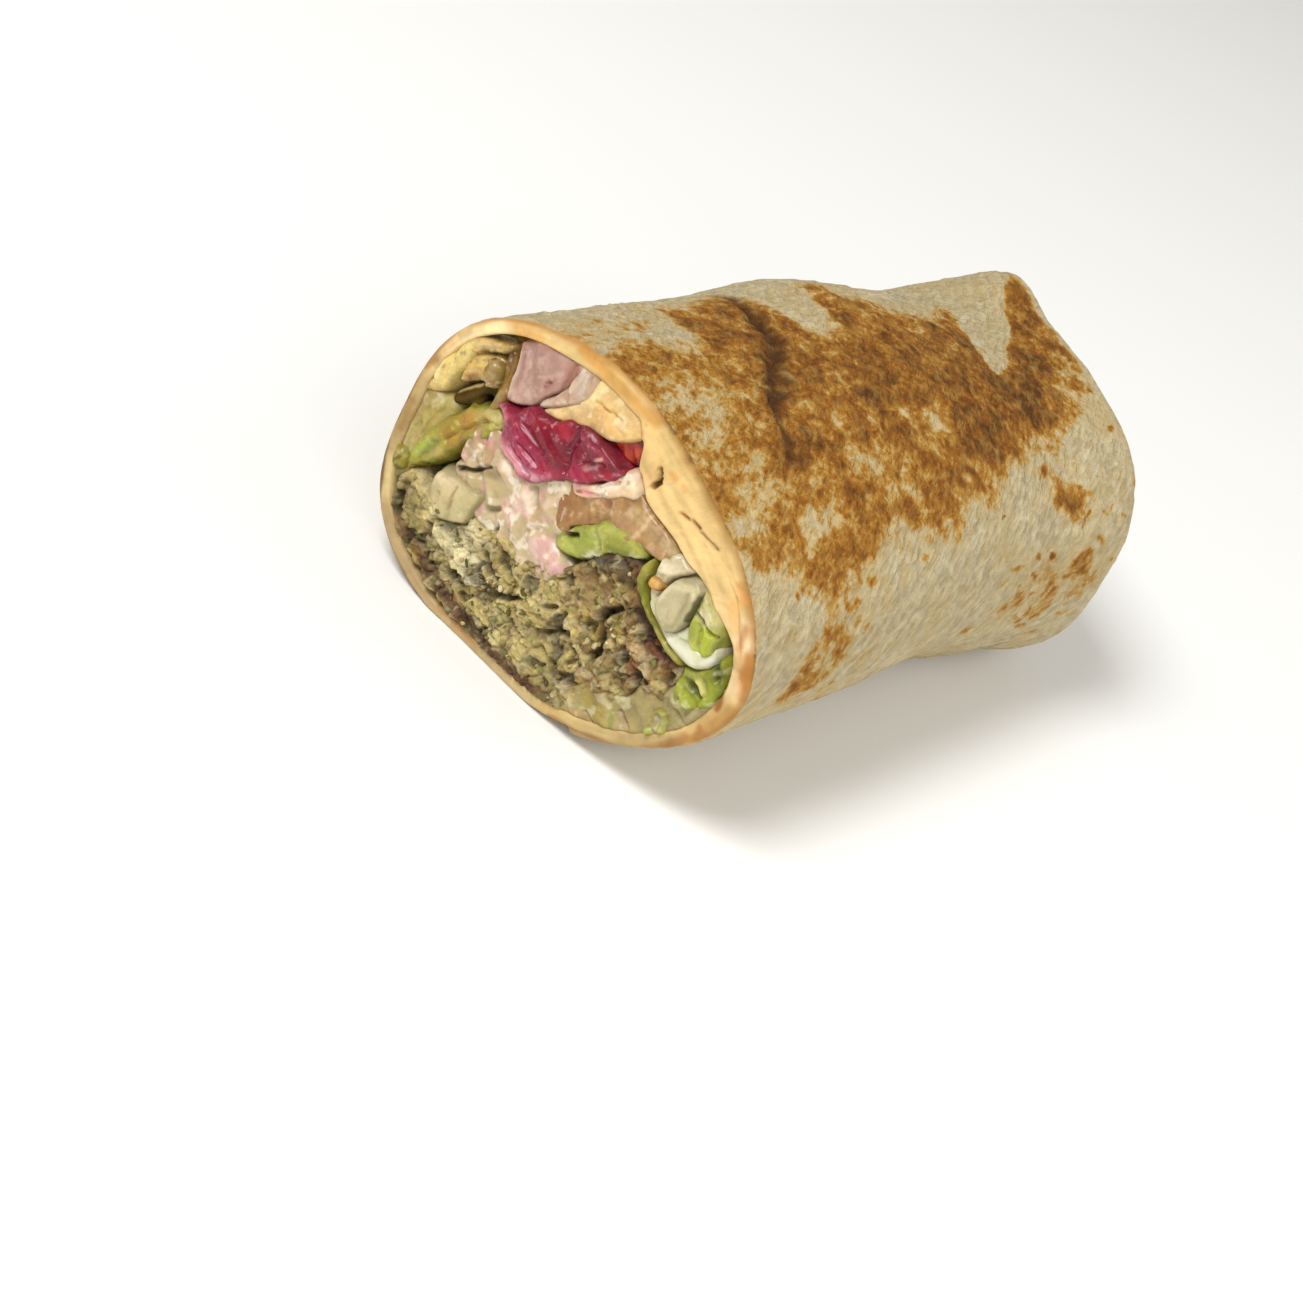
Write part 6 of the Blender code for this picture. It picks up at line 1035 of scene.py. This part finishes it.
def makeFilling(name, shape, seed):
    spacing = shape.get("spacing", 0.27)
    if "spine" in shape:
        outline, middle, core, coreLine = spineCurve(shape["spine"], spacing)
    else:
        outline = closedCurve(shape["outline"], spacing)
        coreLine = outline.mean(axis=0, keepdims=True)
        middle = np.repeat(coreLine, len(outline), axis=0)
        core = [0] * len(outline)
    sides = len(outline)
    flat = np.concatenate([np.full((sides, 1), seed * 7.3), outline], axis=1)
    reach = outline - middle
    size = np.maximum(np.linalg.norm(reach, axis=1, keepdims=True), 1e-6)
    wobble = shape["ragged"] * (0.7 * noise(flat, 1.7, seed + 300) + 0.4 * noise(flat, 0.7, seed + 301))[:, None]
    outline = middle + reach * (1 + np.clip(wobble / size, -0.4, 0.4))
    outline = np.stack(keepInside(outline[:, 0], outline[:, 1], 0.0, 0.45), axis=1)
    reach = outline - middle
    ringCount = max(3, int(np.ceil(np.linalg.norm(reach, axis=1).max() / spacing)))
    shares = 1 - (1 - np.arange(1, ringCount + 1) / ringCount) ** 1.12
    cap = np.concatenate([coreLine] + [middle + reach * s for s in shares])

    y, z = cap[:, 0], cap[:, 1]
    spot = np.stack([np.full(len(cap), seed * 7.3), y, z], axis=1)
    inside = edgeDistance(cap, outline[::max(1, sides // 150)])
    inside[-sides:] = 0.0
    rise = np.sqrt(np.clip(1 - (1 - np.clip(inside / shape["round"], 0, 1)) ** 2, 0, 1))
    height = shape["front"] - shape["drop"] * (1 - rise)
    tint = np.tile(linear(shape["colour"]), (len(cap), 1))
    if "crumb" in shape:
        clump, tall = shape["crumb"]
        warpY = y + 0.8 * noise(spot, 2.6, seed + 310) + 0.30 * noise(spot, 0.8, seed + 311)
        warpZ = z + 0.8 * noise(spot, 2.6, seed + 312) + 0.30 * noise(spot, 0.8, seed + 313)
        crumb, shade = np.zeros(len(cap)), np.zeros(len(cap))
        for step, (grain, weight, soft, tilt) in enumerate(((clump, 0.46, 0.30, 0.34), (clump * 0.45, 0.34, 0.18, 0.8), (clump * 0.22, 0.19, 0.11, 1.3))):
            gap, own, offset = grains(warpY, warpZ, grain, seed + 320 + step)
            open_ = own[:, 2] ** 2 if step < 2 else 0.25
            crumb += weight * ((1 - np.exp(-gap / soft)) * (0.3 + 0.9 * open_) + shape["levels"] * (own[:, 0] - 0.5) * 2)
            crumb += weight * tilt * ((own[:, 1] - 0.5) * offset[:, 0] + (own[:, 2] - 0.5) * offset[:, 1])
            shade += (0.85, 0.5, 0.15)[step] * open_ * np.exp(-gap / (soft * 0.8)) - (0.25, 0.5, 0.45)[step] * (own[:, 1] - 0.5)
        crumb += 0.26 * (1 - 2 * np.abs(noise(spot, 1.1, seed + 330))) + 0.20 * noise(spot, 0.55, seed + 332)
        height = height + tall * (crumb - 0.55) * smooth(inside / 0.8 + 0.25)
        torn = np.stack([spot[:, 0], warpY + 0.6 * noise(spot, 1.0, seed + 314), warpZ + 0.6 * noise(spot, 1.0, seed + 315)], axis=1)
        pit = smooth((noise(torn, 2.2, seed + 331) - 0.36) * 5) * smooth(inside / 0.8)
        height = height - 0.85 * pit
        shade = np.clip(shade + 0.9 * pit, -0.6, 1.0)
        tint = tint * (1 + 0.22 * layeredNoise(spot, 5.0, seed + 334))[:, None]
        gap, own, offset = grains(warpY, warpZ, clump * 0.45, seed + 321)
        for low, high, colour, share in ((0.74, 1.0, "#cfc198", 0.5), (0.0, 0.18, "#8b7043", 0.4), (0.2, 0.30, "#84854a", 0.4)):
            pick = share * ((own[:, 0] >= low) & (own[:, 0] < high)) * smooth(gap / 0.25)
            tint = tint + (linear(colour) - tint) * pick[:, None]
        # painted shade in the gaps between grains and in the pits, and painted light and shade on each grain by its
        # tilt, lighter on flake tops
        darker, lighter = np.clip(shade, 0, 1)[:, None], np.clip(-shade * 2, 0, 1)[:, None]
        tint = tint * (1 - darker * (1 - np.array([0.26, 0.25, 0.25])) + 0.3 * lighter)
    for index, (long, wide, turn, tall) in enumerate(shape.get("ripple", [])):
        c, s = math.cos(math.radians(turn)), math.sin(math.radians(turn))
        stretched = np.stack([np.full(len(cap), seed * 3.1 + index), (y * c + z * s) / long, (-y * s + z * c) / wide], axis=1)
        ripple = noise(stretched, 1.0, seed + 340 + index)
        height = height + tall * ripple * smooth(inside / 0.6 + 0.15)
        tint = tint * (1 + 0.16 * min(tall / 0.3, 1.0) * ripple)[:, None]
    drawnY = (y + 0.22 * noise(spot, 1.1, seed + 350)) / drawnScale
    drawnZ = (z + 0.22 * noise(spot, 1.1, seed + 351)) / drawnScale
    for stroke in shape["relief"]:
        share = strokeShare(drawnY, drawnZ, stroke)
        height = height + stroke[5] * share * smooth(inside / 0.5 + 0.2)
        # deep grooves are painted darker in step with their depth: painted shade
        if stroke[5] < -0.55:
            tint = tint * (1 - min(-stroke[5] / 2.2, 0.72) * share)[:, None]
    base = tint.copy()
    for stroke in shape["strokes"]:
        share = (strokeShare(drawnY, drawnZ, stroke) * stroke[6])[:, None]
        fresh = linear(stroke[5])
        if "crumb" in shape:
            fresh = fresh * np.clip(base / linear(shape["colour"]), 0.45, 1.15)
        tint = tint + (fresh - tint) * share
    for index, (colour, cell, rare, strength) in enumerate(shape.get("mottle", mottles.get(shape["material"], []))):
        share = strength * smooth((layeredNoise(spot + 0.3 * cell * index, cell, seed + 360 + index) - rare) * 3.6)[:, None]
        tint = tint + (linear(colour) - tint) * share
    parting = looks[shape["material"]][1].get("parting", 0.35)
    tint = tint * (1 - parting * np.exp(-(inside / 0.45) ** 2))[:, None]      # painted shade: the colour darkens along the parting between pieces, where shade falls
    x = cutX(y, z) - height
    points = [np.stack([x, y, z], axis=1)]
    cutFronts[name] = points[0][inside > 0.7]
    edgeX = x[-sides:]

    # back from the front's edge to the folded end, swelling a little to close the gaps between pieces
    angle = np.degrees(np.arctan2(outline[:, 1], outline[:, 0]))
    outwards = reach / np.maximum(np.linalg.norm(reach, axis=1, keepdims=True), 1e-6)
    for depth, swell in ((0.5, 0.3), (1.6, 0.7), (4.0, 0.8)):
        wider = outline + outwards * swell
        wy, wz = keepInside(wider[:, 0], wider[:, 1], 0.0, 0.5)
        points.append(np.stack([edgeX + depth, wy, wz], axis=1))
    for station in (0.12, 0.3, 0.58, 0.82, 1.0):
        scale = rollRadius(station, angle) / rollRadius(0.0, angle)
        wy, wz = keepInside(outline[:, 0] * scale, outline[:, 1] * scale, station, 0.3)
        points.append(np.stack([placedX(station, wy, wz) + (0.3 if station == 1.0 else 0.0), wy, wz], axis=1))
    points.append(points[-1].mean(axis=0, keepdims=True))
    rings = 8
    # the sides going back into the roll are painted at 0.55 of the colour: painted shade between and behind the pieces
    tint = np.concatenate([tint, np.tile(linear(shape["colour"]) * 0.55, (rings * sides + 1, 1))])
    points = np.concatenate(points)

    coreCount = len(coreLine)
    faces = []
    for i in range(sides):
        j = (i + 1) % sides
        corner = (core[i], core[j], coreCount + j, coreCount + i)
        faces.append(corner if corner[0] != corner[1] else (corner[0], corner[2], corner[3]))
    for ring in range(ringCount - 1 + rings):
        faces += tubeFaces(coreCount + ring * sides, coreCount + (ring + 1) * sides, sides)
    last = coreCount + (ringCount - 1 + rings) * sides
    faces += [(last + i, last + (i + 1) % sides, len(points) - 1) for i in range(sides)]
    area = (outline[:, 0] * np.roll(outline[:, 1], -1) - np.roll(outline[:, 0], -1) * outline[:, 1]).sum()
    if area > 0:                                                       # the front faces -X
        faces = [f[::-1] for f in faces]
    return makePiece(name + "_piece", points, faces, materials[shape["material"]], [name], {"tint": tint})


for index, (name, shape) in enumerate(fillings.items()):
    makeFilling(name, shape, 1000 + 40 * index)
print("fillings made:", len(fillings))


# Small loose things on the cut: crumbs that broke off and chopped herb

scatter = {
    # how many, length from and to (mm), how flat, how far out of the surface, fillings they lie on, colours
    "falafel_crumbs": {"count": 70, "size": (0.45, 1.15), "flat": 0.75, "out": 0.28, "on": ["falafel_left", "falafel_right"], "material": "falafel", "slot": "falafel",
                       "colours": ["#b9a56b", "#d0c195", "#8f7a48", "#a39154", "#6f5330"]},
    "herb_flecks": {"count": 48, "size": (0.6, 1.7), "flat": 0.22, "out": 0.15, "on": ["falafel_left", "falafel_right"], "material": "lettuce", "slot": "lettuce_tan",
                    "colours": ["#75703c", "#5f5e33", "#86824c", "#6a5f30"]},
}
lump = [(math.cos(a) * math.cos(t), math.sin(a) * math.cos(t), math.sin(t))
        for t in (-math.pi / 2, -0.8, -0.25, 0.25, 0.8, math.pi / 2) for a in (np.arange(8) * math.pi / 4 + 3 * t if abs(t) < 1.5 else [0.0])]


def makeScatter(name, look, seed):
    chance = np.random.default_rng(seed)
    fronts = np.concatenate([cutFronts[key] for key in look["on"]])
    ball = np.array(lump)
    ringCount = 4
    faces = [(0, 1 + (i + 1) % 8, 1 + i) for i in range(8)]
    faces += [f for ring in range(ringCount - 1) for f in tubeFaces(1 + ring * 8, 9 + ring * 8, 8)]
    faces += [(len(ball) - 1, len(ball) - 9 + i, len(ball) - 9 + (i + 1) % 8) for i in range(8)]
    points, tints, allFaces = [], [], []
    for index in range(look["count"]):
        place = fronts[chance.integers(len(fronts))]
        long = chance.uniform(*look["size"]) / 2
        shape = ball * (1 + 0.28 * noise(ball + index * 5.0, 0.9, seed + 1))[:, None] * np.array([long, long * chance.uniform(0.5, 0.85), long * look["flat"]])
        turn = chance.normal(size=4)
        w, x, y, z = turn / np.linalg.norm(turn)
        spin = np.array([[1 - 2 * (y * y + z * z), 2 * (x * y - z * w), 2 * (x * z + y * w)],
                         [2 * (x * y + z * w), 1 - 2 * (x * x + z * z), 2 * (y * z - x * w)],
                         [2 * (x * z - y * w), 2 * (y * z + x * w), 1 - 2 * (x * x + y * y)]])
        allFaces += [tuple(corner + len(ball) * index for corner in face) for face in faces]
        points.append(shape @ spin.T + place - np.array([look["out"] * long, 0, 0]))
        tints.append(np.tile(linear(look["colours"][chance.integers(len(look["colours"]))]) * chance.uniform(0.8, 1.15), (len(ball), 1)))
    return makePiece(name, np.concatenate(points), allFaces, materials[look["material"]], [], {"tint": np.concatenate(tints)})


for index, (name, look) in enumerate(scatter.items()):
    makeScatter(name, look, 5000 + 40 * index)
print("crumbs and herbs made")


# Floor, light and camera

studio = {
    "floor": 6.0, "floorColour": "#f4f4f2",
    "sky": "#fffaf2", "skyStrength": 0.34,
    "camera": (-0.29276, -0.15348, 0.19227), "lens": 64.93,
    "right": (0.655, -0.649, 0.387), "up": (0.187, 0.635, 0.749),
    # softboxes: place, aim, size and watts
    "softboxes": [((-0.55, 0.25, 0.95), (0, 0, 0.02), 0.45, 9.6), ((-0.6, -0.7, 0.5), (0, 0, 0.02), 0.8, 3.1), ((0.5, -0.75, 0.55), (0, 0, 0.02), 0.8, 3.6)],
}


def makeStudio():
    half = studio["floor"] / 2
    mesh = bpy.data.meshes.new("floor")
    mesh.from_pydata([(-half, -half, 0), (half, -half, 0), (half, half, 0), (-half, half, 0)], [], [(0, 1, 2, 3)])
    floor = bpy.data.objects.new("floor", mesh)
    bpy.context.scene.collection.objects.link(floor)
    # matt white paper sweep: even, with a barely visible tooth
    material, tree, shader = newMaterial("matt white paper")
    tooth = addNode(tree, "ShaderNodeTexNoise", {"in:Scale": 1 / (1.5 * mm), "in:Detail": 2.0})
    bump = addNode(tree, "ShaderNodeBump", {"in:Strength": 0.03, "in:Distance": 0.1 * mm}, {"Height": tooth.outputs["Fac"]})
    tree.links.new(bump.outputs[0], shader.inputs["Normal"])
    shader.inputs["Base Color"].default_value = (*linear(studio["floorColour"]), 1)
    shader.inputs["Roughness"].default_value = 0.9
    mesh.materials.append(material)
    world = bpy.data.worlds.new("studio")
    world.use_nodes = True
    world.node_tree.nodes["Background"].inputs["Color"].default_value = (*linear(studio["sky"]), 1)
    world.node_tree.nodes["Background"].inputs["Strength"].default_value = studio["skyStrength"]
    bpy.context.scene.world = world
    for index, (place, aim, size, watts) in enumerate(studio["softboxes"]):
        light = bpy.data.lights.new(f"softbox_{index}", "AREA")
        light.shape, light.size, light.energy = "SQUARE", size, watts
        lamp = bpy.data.objects.new(f"softbox_{index}", light)
        back = np.array(place) - np.array(aim)
        back = back / np.linalg.norm(back)
        right = np.cross((0, 0, 1), back)
        right = right / np.linalg.norm(right)
        lamp.matrix_world = Matrix([[*row, place[i]] for i, row in enumerate(np.stack([right, np.cross(back, right), back], axis=1))] + [[0, 0, 0, 1]])
        bpy.context.scene.collection.objects.link(lamp)
    right, up = np.array(studio["right"]), np.array(studio["up"])
    right = right / np.linalg.norm(right)
    up = up - right * (up @ right)
    up = up / np.linalg.norm(up)
    back = np.cross(right, up)
    camera = bpy.data.objects.new("camera", bpy.data.cameras.new("camera"))
    camera.data.lens = studio["lens"]
    camera.data.sensor_width = 36.0
    camera.data.clip_start = 0.01
    camera.matrix_world = Matrix([[*row, studio["camera"][i]] for i, row in enumerate(np.stack([right, up, back], axis=1))] + [[0, 0, 0, 1]])
    bpy.context.scene.collection.objects.link(camera)
    bpy.context.scene.camera = camera
    view = bpy.context.scene.view_settings
    view.view_transform, view.look, view.exposure, view.gamma = "Standard", "None", 0.0, 1.0


makeStudio()
print("studio made")

bpy.context.view_layer.update()
